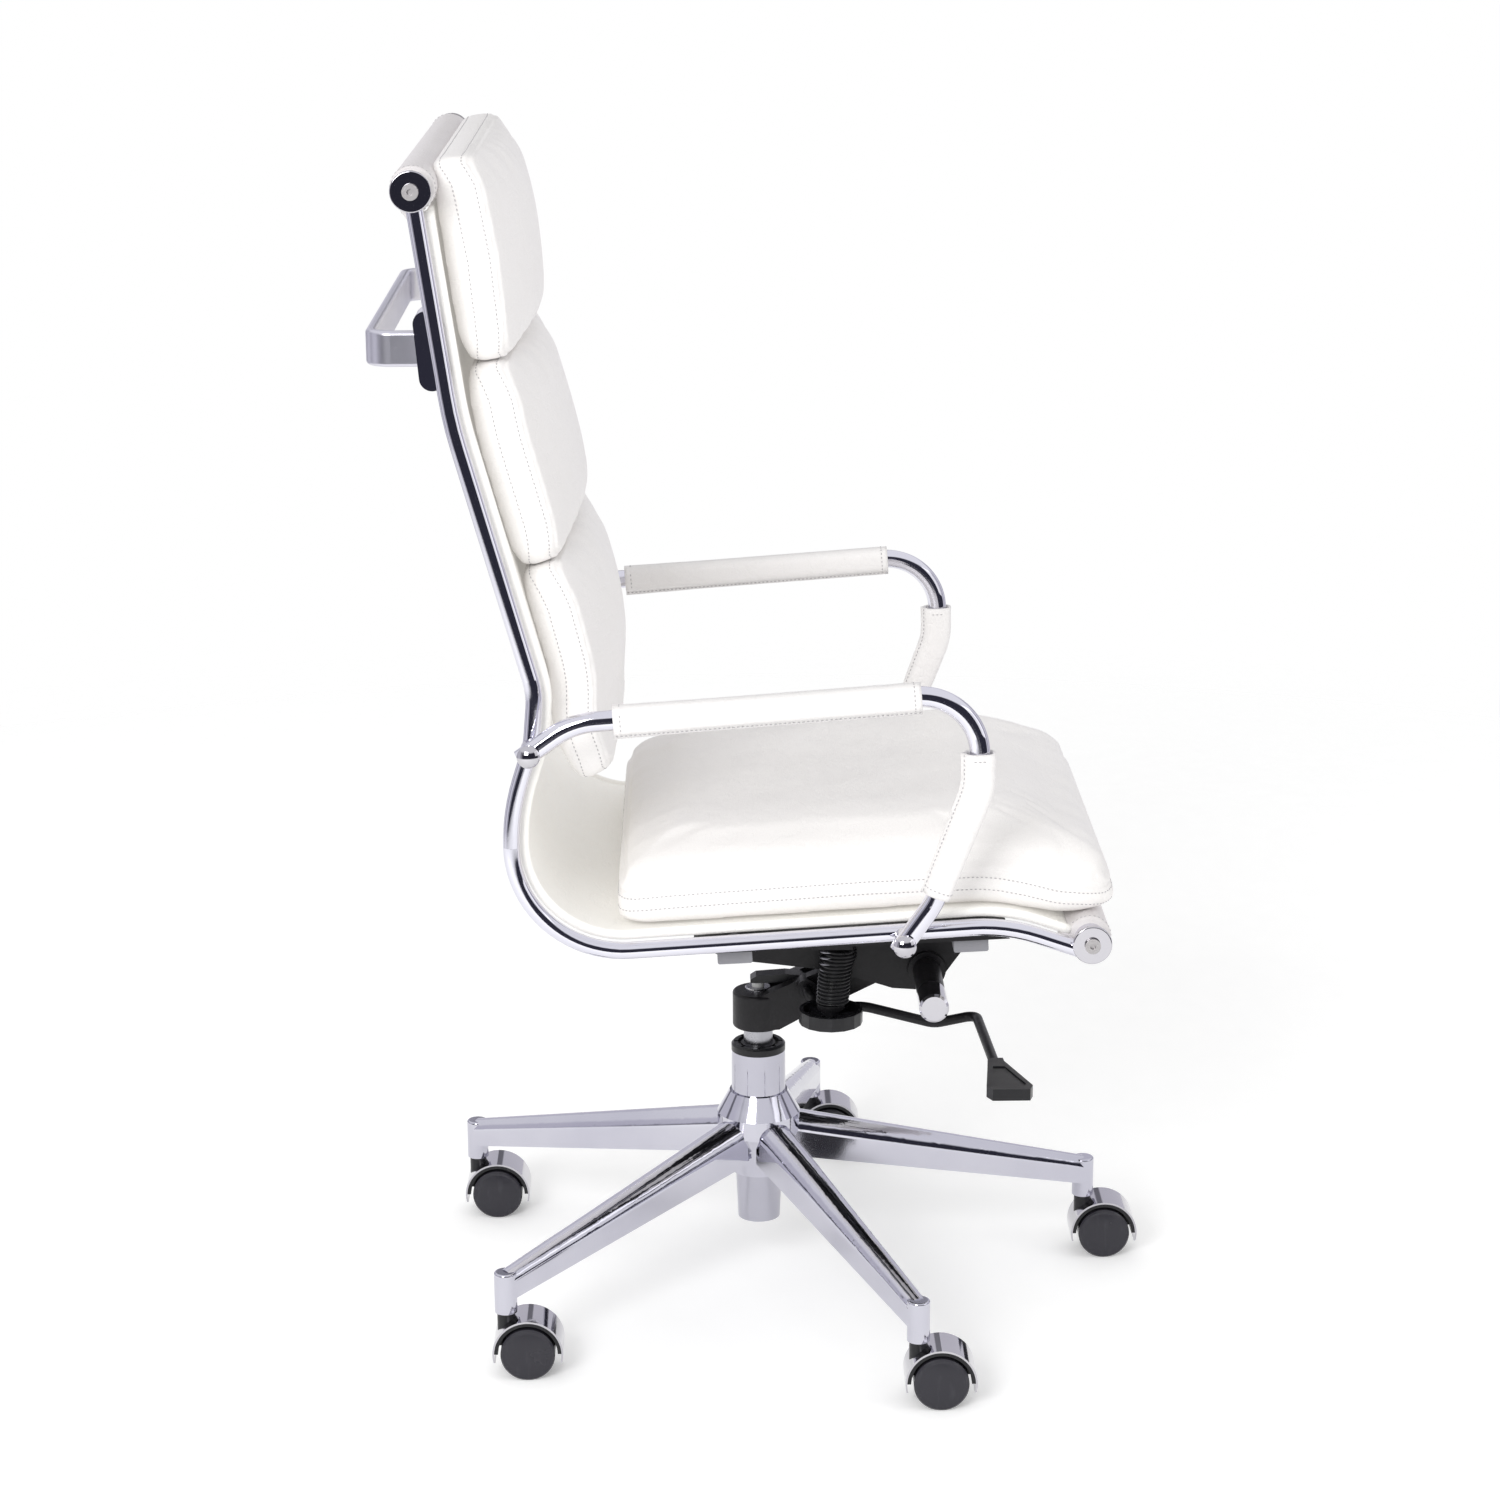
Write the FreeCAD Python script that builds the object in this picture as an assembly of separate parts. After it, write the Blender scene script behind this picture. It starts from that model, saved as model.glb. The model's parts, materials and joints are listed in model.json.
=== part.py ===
"""Swivel office chair with a slung, padded seat, chrome side rails and a five-castor base.

Millimetres, +Z up. The origin is on the floor under the column's axis, +X is the sitter's left
and the sitter faces -Y. Each function builds one sub-part, and parts() names the nodes.
"""
import FreeCAD, Part
import math
import os

from FreeCAD import Placement, Rotation, Vector

# Five-leg base and its castors
LEG_COUNT = 5
LEG_FIRST_ANGLE = 61.23
CASTOR_CIRCLE_R = 324.0
SOCKET_R = 10.5
SOCKET_BOTTOM_Z = 60.0
LEG_ROOT = {"r": 30.0, "width": 35.0, "bottom": 125.0, "top": 168.0}
LEG_TIP = {"r": CASTOR_CIRCLE_R, "width": 21.0, "bottom": 74.0, "top": 100.0}
LEG_WALL = 4.0
LEG_RIB = 3.0
HUB_BOTTOM_Z = 108.0
HUB_TOP_Z = 190.0
WHEEL_R = 25.0
WHEEL_INNER_X = 4.3
WHEEL_OUTER_X = 24.0
CASTOR_TRAIL = 20.0
HOOD_R = 32.5
HOOD_WALL = 1.7
HOOD_HALF_WIDTH = 20.0
NECK_R = 8.25
STEM_R = 5.0
STEM_LOW = 21.5
STEM_TOP_Z = 90.0
CASTOR_AXLE_R = 3.0
CASTOR_AXLE_HALF = 18.0

# Gas lift
TUBE_TOP_Z = 231.0
TUBE_BOTTOM_Z = 59.0
TUBE_TOP_R = 26.0
TUBE_BOTTOM_R = 20.5
BUSH_R = 21.0
BUSH_BOTTOM_Z = 151.0
BUSH_FLANGE_TOP_Z = 239.0
CYLINDER_R = 14.0
CYLINDER_BOTTOM_Z = 70.0
PISTON_ROD_R = 5.0
RUNNING_GAP = 0.08

# Tilt mechanism
HEAD_R = 24.5
HEAD_BOTTOM_Z = 255.5
HEAD_TOP_Z = 291.0
ARM_HALF_WIDTH = 22.0
PIVOT_Y = -158.0
PIVOT_Z = 331.0
AXLE_R = 8.0
SKIRT_X = 60.0
SHEET = 3.0
SIDE_TUBE_R = 13.2
SIDE_TUBE_END_X = 136.0
SIDE_CAP_R = 13.75
SIDE_CAP_END_X = 171.0
KNOB_X = -78.0
KNOB_Y = -67.0
KNOB_R = 30.0
KNOB_BOTTOM_Z = 286.0
KNOB_TOP_Z = 299.0
LUG_TOP_Z = 305.0
WING_Z = 363.0
LEVER_Y = -46.0
LEVER_Z = 301.0
LEVER_R = 4.75
PIN_R = 6.0
PIN_TOP_Z = 300.3

# Seat frame: the cross-members lie in a plane that rises slightly to the front
SEAT_SLOPE = 2.45
PLANE_Y = 24.0
PLANE_Z = 398.5
BAR_PITCH = 210.2
BAR_WIDTH = 31.0
BAR_HEIGHT = 13.0
BAR_HALF_LENGTH = 235.0
LUG_RISE = 8.5
RAIL_INNER_X = 242.0
RAIL_OUTER_X = 258.0
RAIL_HALF_DEPTH = 7.3
RAIL_EDGE_R = 6.8
CROSSBAR_R = 14.0
CROSSBAR_TOP = (289.6, 1085.0)
CROSSBAR_FRONT = (-291.0, 421.0)
END_CAP_R = 17.5
ROLL_R = 19.0
SLING_BACK_OFFSET = 8.5
SLING_FRONT_OFFSET = 12.5
ARM_X = 276.0
ARM_DEPTH = 18.0
ARM_THICKNESS = 16.0
ARM_BOLT_R = 10.0
ARM_DOME_R = 12.5
REAR_STUD = (201.0, 605.0)
FRONT_STUD = (-124.0, 430.0)
HANDLE_Z = 945.0
HANDLE_HEIGHT = 31.0
HANDLE_THICKNESS = 10.0
HANDLE_X = 200.0
BACK_PAD_HALF_WIDTH = 207.0
SEAT_PAD_HALF_WIDTH = 226.0

# Corners of the side rail's centre line as (y, z, bend radius), from the top to the front
RAIL_CORNERS = [
    (CROSSBAR_TOP[0], CROSSBAR_TOP[1], 0),
    (262.0, 890.0, 350.0),
    (196.0, 652.0, 70.0),
    (200.0, 606.0, 80.0),
    (219.5, 545.0, 200.0),
    (219.5, 411.0, 97.0),
    (-215.0, 437.2, 150.0),
    (-286.0, 412.5, 0),
]
# The same line where the sling leaves the two rolls
SLING_START = (287.0, 1065.5, 0)
SLING_END = (-269.5, 418.3, 0)
# Corners of the armrest's centre line, from the rear stud to the front stud
ARM_TOP_REAR = (163.0, 632.0, 70.0)
ARM_TOP_FRONT = (-187.0, 657.0, 52.0)
ARM_KNEE = (-188.5, 572.0, 60.0)
ARM_SHIN = (-149.0, 466.0, 60.0)


# ---- helpers ----

def leg_angles():
    """Directions of the legs, in degrees."""
    return [LEG_FIRST_ANGLE + 360.0 / LEG_COUNT * k for k in range(LEG_COUNT)]


def socket_centre(angle):
    """Point on the floor under a castor socket."""
    turn = math.radians(angle)
    return Vector(CASTOR_CIRCLE_R * math.cos(turn), CASTOR_CIRCLE_R * math.sin(turn), 0)


def cylinder_z(radius, low, high, centre=(0, 0)):
    """Upright cylinder between two heights."""
    return Part.makeCylinder(radius, high - low, Vector(centre[0], centre[1], low))


def cylinder_x(radius, low, high, centre):
    """Cylinder along X between two x positions; centre is (y, z)."""
    return Part.makeCylinder(radius, high - low, Vector(low, centre[0], centre[1]), Vector(1, 0, 0))


def box(low, high):
    """Box between two corners."""
    size = [b - a for a, b in zip(low, high)]
    return Part.makeBox(size[0], size[1], size[2], Vector(*low))


def revolved(profile):
    """Solid of revolution about Z from (r, z) points."""
    points = [Vector(r, 0, z) for r, z in profile]
    face = Part.Face(Part.makePolygon(points + points[:1]))
    return face.revolve(Vector(0, 0, 0), Vector(0, 0, 1), 360)


def side_plate(outline, low_x, high_x):
    """Plate whose (y, z) outline is extruded between two x positions."""
    points = [Vector(low_x, y, z) for y, z in outline]
    face = Part.Face(Part.makePolygon(points + points[:1]))
    return face.extrude(Vector(high_x - low_x, 0, 0))


def bent_wire(corners):
    """Wire of straight runs joined by tangent arcs; corners are (Vector, bend radius)."""
    edges = []
    last = corners[0][0]
    for index in range(1, len(corners) - 1):
        corner, radius = corners[index]
        back = (corners[index - 1][0] - corner).normalize()
        ahead = (corners[index + 1][0] - corner).normalize()
        half_turn = (math.pi - back.getAngle(ahead)) / 2
        reach = radius * math.tan(half_turn)
        start = corner + back * reach
        end = corner + ahead * reach
        bisector = (back + ahead).normalize()
        middle = corner + bisector * (radius / math.cos(half_turn) - radius)
        edges.append(Part.LineSegment(last, start).toShape())
        edges.append(Part.Arc(start, middle, end).toShape())
        last = end
    edges.append(Part.LineSegment(last, corners[-1][0]).toShape())
    return Part.Wire(edges)


def side_wire(corners, x):
    """Bent wire in a plane of constant x from (y, z, radius) corners."""
    return bent_wire([(Vector(x, y, z), radius) for y, z, radius in corners])


def rounded_rectangle(u_low, u_high, v_low, v_high, radius):
    """Closed rectangle in the plane z = 0 with rounded corners."""
    sheet = Part.makePlane(u_high - u_low, v_high - v_low, Vector(u_low, v_low, 0))
    wire = sheet.OuterWire
    if radius:
        return Part.Wire(wire.makeOffset2D(-radius).makeOffset2D(radius).Edges)
    return wire


def placed_section(section, origin, tangent, across):
    """Move a flat section so that its v axis lies along across and its normal along tangent."""
    normal = FreeCAD.Vector(tangent).normalize()
    v_axis = FreeCAD.Vector(across).normalize()
    u_axis = v_axis.cross(normal)
    matrix = FreeCAD.Matrix(
        u_axis.x, v_axis.x, normal.x, origin.x,
        u_axis.y, v_axis.y, normal.y, origin.y,
        u_axis.z, v_axis.z, normal.z, origin.z,
        0, 0, 0, 1)
    moved = section.copy()
    moved.Placement = Placement(matrix)
    return moved


def swept(path, section, across):
    """Sweep a flat section along a wire, keeping its v axis along across."""
    first = path.OrderedEdges[0]
    tangent = first.tangentAt(first.FirstParameter)
    shell = Part.BRepOffsetAPI.MakePipeShell(path)
    shell.setBiNormalMode(Vector(*across))
    shell.add(placed_section(section, first.valueAt(first.FirstParameter), tangent, across))
    shell.build()
    shell.makeSolid()
    return shell.shape()


def swept_round(path, radius):
    """Round bar along a bent wire in space."""
    first = path.OrderedEdges[0]
    start = first.valueAt(first.FirstParameter)
    circle = Part.Wire(Part.makeCircle(radius, start, first.tangentAt(first.FirstParameter)))
    return path.makePipeShell([circle], True, False)


def mirrored(shape):
    """The same shape on the other side of the chair."""
    return shape.mirror(Vector(0, 0, 0), Vector(1, 0, 0))


def on_both_sides(shape):
    """A shape and its mirror image as separate solids."""
    return Part.makeCompound([shape, mirrored(shape)])


def on_seat_plane(shape):
    """Place a shape built on the cross-members' plane; local origin at the rear bar's underside."""
    moved = shape.copy()
    moved.Placement = Placement(Vector(0, PLANE_Y, PLANE_Z), Rotation(Vector(1, 0, 0), -SEAT_SLOPE))
    return moved


def beyond(point, towards, distance):
    """Point past `point` on the line that comes from `towards`, both (y, z)."""
    step = Vector(0, point[0] - towards[0], point[1] - towards[1]).normalize() * distance
    return (point[0] + step.y, point[1] + step.z, 0)


# ---- base ----

def leg_section(place, inset=0.0, floor_drop=0.0):
    """Arch-topped section of a leg at its radius, drawn across the leg."""
    half = place["width"] / 2 - inset
    low = place["bottom"] - floor_drop
    spring = place["top"] - inset - half
    crown = place["top"] - inset
    x = place["r"]
    corners = [Vector(x, -half, spring), Vector(x, -half, low), Vector(x, half, low), Vector(x, half, spring)]
    edges = [Part.LineSegment(a, b).toShape() for a, b in zip(corners, corners[1:])]
    edges.append(Part.Arc(corners[3], Vector(x, 0, crown), corners[0]).toShape())
    return Part.Wire(edges)


def leg():
    """One leg along +X: an arched beam, open and ribbed underneath, with its castor socket."""
    beam = Part.makeLoft([leg_section(LEG_ROOT), leg_section(LEG_TIP)], True, True)
    near = dict(LEG_ROOT, r=62.0, bottom=116.0, top=160.0)
    far = dict(LEG_TIP, r=306.0, top=104.0)
    channel = Part.makeLoft([leg_section(near, LEG_WALL, 30.0), leg_section(far, LEG_WALL, 30.0)], True, True)
    rib = box((near["r"] - 5, -LEG_RIB / 2, 0), (far["r"] + 5, LEG_RIB / 2, HUB_TOP_Z))
    channel = channel.cut(rib)
    socket = cylinder_z(SOCKET_R, SOCKET_BOTTOM_Z, LEG_TIP["top"] - 1.0, (CASTOR_CIRCLE_R, 0))
    socket = socket.makeFillet(2.0, [socket.Edges[0]])
    bore = cylinder_z(STEM_R + RUNNING_GAP, SOCKET_BOTTOM_Z - 1, STEM_TOP_Z + 2.0, (CASTOR_CIRCLE_R, 0))
    return beam.cut(channel).fuse(socket).cut(bore)


def star_base():
    """Polished one-piece casting: five legs round a coned hub."""
    hub = revolved([(0, HUB_BOTTOM_Z), (27, HUB_BOTTOM_Z), (31, 134), (40, 150), (40, 168.6), (28, HUB_TOP_Z),
                    (0, HUB_TOP_Z)])
    casting = hub
    for angle in leg_angles():
        arm = leg()
        arm.rotate(Vector(0, 0, 0), Vector(0, 0, 1), angle)
        casting = casting.fuse(arm)
    return casting.cut(tube_envelope()).removeSplitter()


def tube_envelope():
    """Outer form of the gas lift's tube: parallel above the hub, tapered inside it."""
    return revolved([(0, TUBE_BOTTOM_Z), (TUBE_BOTTOM_R, TUBE_BOTTOM_Z), (TUBE_TOP_R, HUB_TOP_Z),
                     (TUBE_TOP_R, TUBE_TOP_Z), (0, TUBE_TOP_Z)])


def lift_outer_tube():
    """Tapered steel tube with a closed bottom."""
    wide = cylinder_z(BUSH_R, BUSH_BOTTOM_Z, TUBE_TOP_Z + 1)
    narrow = cylinder_z(17.5, TUBE_BOTTOM_Z + SHEET, BUSH_BOTTOM_Z + 1)
    hole = cylinder_z(PISTON_ROD_R + RUNNING_GAP, TUBE_BOTTOM_Z - 1, TUBE_BOTTOM_Z + SHEET + 1)
    return tube_envelope().cut(wide).cut(narrow).cut(hole)


def lift_guide_bushing():
    """Plastic guide in the tube's mouth, with a notched lip round the cylinder."""
    sleeve = cylinder_z(BUSH_R, BUSH_BOTTOM_Z, TUBE_TOP_Z)
    flange = revolved([(0, TUBE_TOP_Z), (TUBE_TOP_R, TUBE_TOP_Z), (TUBE_TOP_R, BUSH_FLANGE_TOP_Z - 2),
                       (TUBE_TOP_R - 2, BUSH_FLANGE_TOP_Z), (0, BUSH_FLANGE_TOP_Z)])
    dish = cylinder_z(BUSH_R - 1, BUSH_FLANGE_TOP_Z - 3.5, BUSH_FLANGE_TOP_Z + 1)
    lip = cylinder_z(CYLINDER_R + 2.5, BUSH_FLANGE_TOP_Z - 3.5, BUSH_FLANGE_TOP_Z - 1)
    bush = sleeve.fuse(flange).cut(dish).fuse(lip)
    for k in range(8):
        notch = box((CYLINDER_R + 5.2, -1.5, BUSH_FLANGE_TOP_Z - 5.5), (BUSH_R + 2.2, 1.5, BUSH_FLANGE_TOP_Z + 1))
        notch.rotate(Vector(0, 0, 0), Vector(0, 0, 1), 45.0 * k)
        bush = bush.cut(notch)
    return bush.cut(cylinder_z(CYLINDER_R + RUNNING_GAP, BUSH_BOTTOM_Z - 1, BUSH_FLANGE_TOP_Z + 1))


def lift_thrust_bearing():
    """Two races and a ball cage under the piston rod's shoulder."""
    floor = TUBE_BOTTOM_Z + SHEET
    bore = cylinder_z(PISTON_ROD_R + RUNNING_GAP, floor - 1, floor + 6)
    lower = cylinder_z(12.0, floor, floor + 1.2).cut(bore)
    cage = cylinder_z(11.0, floor + 1.2, floor + 2.8).cut(bore)
    upper = cylinder_z(12.0, floor + 2.8, floor + 4.0).cut(bore)
    return Part.makeCompound([lower, cage, upper])


def lift_piston_rod():
    """Piston rod that stands on the thrust bearing, with its piston."""
    floor = TUBE_BOTTOM_Z + SHEET + 4.0
    return revolved([(0, 55.0), (PISTON_ROD_R, 55.0), (PISTON_ROD_R, floor + 0.1), (8.5, floor + 0.1), (8.5, 69.0),
                     (PISTON_ROD_R, 69.0), (PISTON_ROD_R, 182.0), (11.42, 182.0), (11.42, 192.0), (0, 192.0)])


def lift_rod_clip():
    """Spring clip that keeps the rod in the tube's bottom."""
    ring = cylinder_z(9.0, 57.0, 58.8)
    return ring.cut(cylinder_z(PISTON_ROD_R, 56, 60)).cut(box((-1.5, 0, 56), (1.5, 12, 60)))


# ---- lift cylinder and carrier ----

def cylinder_envelope():
    """Outer form of the moving cylinder: parallel, then the taper that seats in the carrier."""
    return revolved([(0, CYLINDER_BOTTOM_Z), (CYLINDER_R, CYLINDER_BOTTOM_Z), (CYLINDER_R, HEAD_BOTTOM_Z),
                     (12.5, HEAD_TOP_Z), (12.5, HEAD_TOP_Z + 3.0), (11.5, HEAD_TOP_Z + 4.0), (0, HEAD_TOP_Z + 4.0)])


def lift_cylinder():
    """Pressure cylinder that slides in the guide bushing."""
    chamber = cylinder_z(11.5, 95.0, 248.0)
    rod_bore = cylinder_z(PISTON_ROD_R + RUNNING_GAP, CYLINDER_BOTTOM_Z - 1, 96.0)
    pin_bore = cylinder_z(PIN_R + 0.1, 276.0, HEAD_TOP_Z + 6)
    stem_bore = cylinder_z(3.1, 247.0, 277.0)
    return cylinder_envelope().cut(chamber).cut(rod_bore).cut(pin_bore).cut(stem_bore)


def release_pin():
    """Pin that opens the gas valve when it is pressed down."""
    return revolved([(0, 252.0), (3.0, 252.0), (3.0, 280.3), (PIN_R, 280.3), (PIN_R, PIN_TOP_Z - 1.0),
                     (PIN_R - 1.5, PIN_TOP_Z), (0, PIN_TOP_Z)])


def carrier_arm():
    """Cast arm from the lift's head up to the tilt pivot, with the tension lug and the lever boss."""
    head = cylinder_z(HEAD_R, HEAD_BOTTOM_Z, HEAD_TOP_Z)
    head = head.makeFillet(2.5, [head.Edges[0], head.Edges[2]])
    outline = [(0, 256.5), (-20, 258), (-38, 268), (-89, 293), (-125, 311), (-152, 317), (-158, 346),
               (-148, 344), (-56, 315), (-12, 296), (0, 290)]
    beam = side_plate(outline, -ARM_HALF_WIDTH, ARM_HALF_WIDTH)
    barrel = cylinder_x(15.0, -52.0, 52.0, (PIVOT_Y, PIVOT_Z))
    lug = box((KNOB_X, KNOB_Y - 13, LUG_TOP_Z - 5), (-ARM_HALF_WIDTH + 2, KNOB_Y + 13, LUG_TOP_Z))
    lug = lug.fuse(cylinder_z(13.0, LUG_TOP_Z - 5, LUG_TOP_Z, (KNOB_X, KNOB_Y)))
    boss = cylinder_x(9.5, -29.0, 0.0, (LEVER_Y, LEVER_Z))
    arm = head.fuse(beam).fuse(barrel).fuse(lug).fuse(boss)
    arm = arm.cut(cylinder_envelope())
    arm = arm.cut(cylinder_x(AXLE_R, -60.0, 60.0, (PIVOT_Y, PIVOT_Z)))
    arm = arm.cut(cylinder_x(6.5 + RUNNING_GAP, -30.0, 9.5, (LEVER_Y, LEVER_Z)))
    arm = arm.cut(cylinder_z(4.3, LUG_TOP_Z - 6, LUG_TOP_Z + 1, (KNOB_X, KNOB_Y)))
    rocker_slot = box((-8.8, LEVER_Y - 9.0, 292.0), (8.8, 14.0, 330.0))
    return arm.cut(rocker_slot)


def pivot_axle():
    """Axle fixed in the carrier, on which the seat plate tilts."""
    return cylinder_x(AXLE_R, -67.0, 67.0, (PIVOT_Y, PIVOT_Z))


def release_rocker():
    """Rocker on the lever's shaft, with the tab that lies on the release pin."""
    shaft = cylinder_x(6.5, -29.5, 8.6, (LEVER_Y, LEVER_Z))
    tab = side_plate([(LEVER_Y, LEVER_Z - 4), (-22.0, 301.5), (-8.0, 300.6), (7.5, 300.6), (7.5, 304.0),
                      (2.0, 307.5), (-26.0, 309.5), (LEVER_Y - 2, LEVER_Z + 6.2)], -8.4, 8.4)
    rocker = shaft.fuse(tab)
    return rocker.cut(cylinder_x(LEVER_R, -30.0, 6.0, (LEVER_Y, LEVER_Z)))


def lever_rod():
    """Bent rod from the rocker forward under the seat and out to the paddle."""
    return swept_round(bent_wire([
        (Vector(6.0, LEVER_Y, LEVER_Z), 0),
        (Vector(-40.0, LEVER_Y, LEVER_Z), 8.0),
        (Vector(-40.0, -59.0, 286.5), 9.0),
        (Vector(-40.0, -100.0, 287.5), 60.0),
        (Vector(-40.0, -167.0, 269.5), 30.0),
        (Vector(-40.0, -207.0, 277.5), 12.0),
        (Vector(-190.0, -213.5, 281.0), 0)]), LEVER_R)


def lever_paddle():
    """Flat hand grip on the rod's end, wider outwards, with a shallow recess."""
    outline = [(-180, -7), (-188, -7.5), (-250, -28), (-260, -25), (-260, 8.5), (-250, 13.5), (-188, 7.5), (-180, 7)]
    points = [Vector(x, y, 0) for x, y in outline]
    grip = Part.Face(Part.makePolygon(points + points[:1])).extrude(Vector(0, 0, 11))
    recess = [Vector(x, y, 9.8) for x, y in [(-202, -7), (-246, -22), (-253, -20), (-253, 4.5), (-246, 8), (-202, 4)]]
    grip = grip.cut(Part.Face(Part.makePolygon(recess + recess[:1])).extrude(Vector(0, 0, 3)))
    grip.translate(Vector(0, -213.5, 275.5))
    return grip.cut(lever_rod())


# ---- tension adjuster ----

def tension_knob():
    """Ribbed hand wheel that turns on the tension bolt."""
    facets = 16
    points = []
    for k in range(facets):
        turn = 2 * math.pi * k / facets
        points.append(Vector(KNOB_R * math.cos(turn), KNOB_R * math.sin(turn), 0))
    knob = Part.Face(Part.makePolygon(points + points[:1])).extrude(Vector(0, 0, KNOB_TOP_Z - KNOB_BOTTOM_Z))
    knob = knob.cut(cylinder_z(26.0, 3.0, 20.0))
    knob = knob.fuse(cylinder_z(9.0, 2.0, KNOB_TOP_Z - KNOB_BOTTOM_Z))
    for k in range(8):
        rib = box((8.0, -1.0, 2.0), (27.0, 1.0, 9.5))
        rib.rotate(Vector(0, 0, 0), Vector(0, 0, 1), 45.0 * k)
        knob = knob.fuse(rib)
    knob = knob.cut(cylinder_z(4.0, -1, 20))
    knob.translate(Vector(KNOB_X, KNOB_Y, KNOB_BOTTOM_Z))
    return knob.removeSplitter()


def hexagon_nut(radius, low, high, centre, bore):
    """Hexagon nut round a bolt, flats on a circle of `radius`."""
    points = []
    for k in range(6):
        turn = math.radians(60.0 * k)
        points.append(Vector(centre[0] + radius * math.cos(turn), centre[1] + radius * math.sin(turn), low))
    nut = Part.Face(Part.makePolygon(points + points[:1])).extrude(Vector(0, 0, high - low))
    return nut.cut(cylinder_z(bore, low - 1, high + 1, centre))


def tension_bolt():
    """Draw bolt through the knob, the lug, the spring and the seat plate's wing, with its nut."""
    centre = (KNOB_X, KNOB_Y)
    bolt = cylinder_z(4.0, KNOB_BOTTOM_Z + 0.5, 384.0, centre)
    nut = hexagon_nut(7.5, WING_Z + SHEET + 0.4, WING_Z + SHEET + 7.4, centre, 3.9)
    return bolt.fuse(nut)


def tension_spring():
    """Compression spring between the lug and the wing."""
    low = LUG_TOP_Z + 1.8
    high = WING_Z - 2.2
    turns = 9
    helix = Part.makeHelix((high - low) / turns, high - low, 9.0)
    section = Part.Wire(Part.makeCircle(1.5, Vector(9.0, 0, 0), Vector(0, 1, 0)))
    coil = Part.Wire(helix).makePipeShell([section], True, True)
    coil.translate(Vector(KNOB_X, KNOB_Y, low))
    return coil


def tension_bellows():
    """Corrugated boot over the spring."""
    outer, inner, groove = 14.0, 11.2, 12.4
    folds = 12
    low = LUG_TOP_Z
    high = WING_Z - 0.3
    pitch = (high - low) / folds
    profile = [(inner, low)]
    for k in range(folds):
        profile.append((groove, low + pitch * k))
        profile.append((outer, low + pitch * (k + 0.35)))
        profile.append((outer, low + pitch * (k + 0.65)))
    profile.append((groove, high))
    profile.append((inner, high))
    boot = revolved(profile)
    boot.translate(Vector(KNOB_X, KNOB_Y, 0))
    return boot


# ---- seat plate and cross-members ----

def plane_bolt_places():
    """Bolt centres (x, local y) on the cross-members: by the tray and near the bars' ends."""
    return [(x, y) for y in (0.0, -BAR_PITCH) for x in (-215.0, -40.0, 40.0, 215.0)]


def plane_holes():
    """Shank holes through the tray, bars and support plate."""
    return on_seat_plane(Part.makeCompound([cylinder_z(3.0, -10, 30, place) for place in plane_bolt_places()]))


def seat_plate():
    """Pressed tray that tilts on the axle: web, two skirts, bosses and the spring's wing."""
    rear, front = 48.0, -212.0
    slope = math.tan(math.radians(SEAT_SLOPE))
    rear_z = PLANE_Z - (rear - PLANE_Y) * slope
    front_z = PLANE_Z - (front - PLANE_Y) * slope
    outline = [(rear, rear_z), (rear, 352), (30, 343), (7, 340), (-57, 332), (-109, 318), (-126, 312.5),
               (-147, 311), (-168, 316), (-182, 336), (-192, 350), (front, 385), (front, front_z)]
    web = side_plate([(rear, rear_z), (rear, rear_z - SHEET), (front, front_z - SHEET), (front, front_z)],
                     -SKIRT_X, SKIRT_X)
    skirt = side_plate(outline, SKIRT_X - SHEET, SKIRT_X)
    boss = cylinder_x(18.0, SKIRT_X - SHEET, SKIRT_X + 4.0, (PIVOT_Y, PIVOT_Z))
    tray = web
    for part in (skirt.fuse(boss), mirrored(skirt.fuse(boss))):
        tray = tray.fuse(part)
    wing = box((KNOB_X - 18, KNOB_Y - 20, WING_Z), (-SKIRT_X + 1, KNOB_Y + 18, WING_Z + SHEET))
    gusset = box((-SKIRT_X - 14, KNOB_Y - 20, WING_Z), (-SKIRT_X + 1, KNOB_Y - 17, WING_Z + 25))
    tray = tray.fuse(wing).fuse(gusset)
    slot = box((KNOB_X - 4.6, KNOB_Y - 9.0, WING_Z - 1), (KNOB_X + 4.6, KNOB_Y + 4.8, WING_Z + 5))
    tray = tray.cut(slot)
    tray = tray.cut(cylinder_x(AXLE_R + RUNNING_GAP, -70.0, 70.0, (PIVOT_Y, PIVOT_Z)))
    return tray.cut(plane_holes()).removeSplitter()


def pivot_side_tubes():
    """Black tubes on the tray's bosses, round the ends of the axle."""
    tube = cylinder_x(SIDE_TUBE_R, SKIRT_X + 4.0, SIDE_TUBE_END_X, (PIVOT_Y, PIVOT_Z))
    return on_both_sides(tube.cut(cylinder_x(10.0, SKIRT_X, SIDE_TUBE_END_X + 1, (PIVOT_Y, PIVOT_Z))))


def pivot_tube_caps():
    """Chrome caps on the side tubes."""
    cap = cylinder_x(SIDE_CAP_R, SIDE_TUBE_END_X - 3, SIDE_CAP_END_X, (PIVOT_Y, PIVOT_Z))
    cap = cap.makeChamfer(2.2, [edge for edge in cap.Edges if abs(edge.CenterOfMass.x - SIDE_CAP_END_X) < 0.1])
    cap = cap.cut(cylinder_x(SIDE_TUBE_R, SIDE_TUBE_END_X - 4, SIDE_TUBE_END_X, (PIVOT_Y, PIVOT_Z)))
    return on_both_sides(cap)


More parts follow.
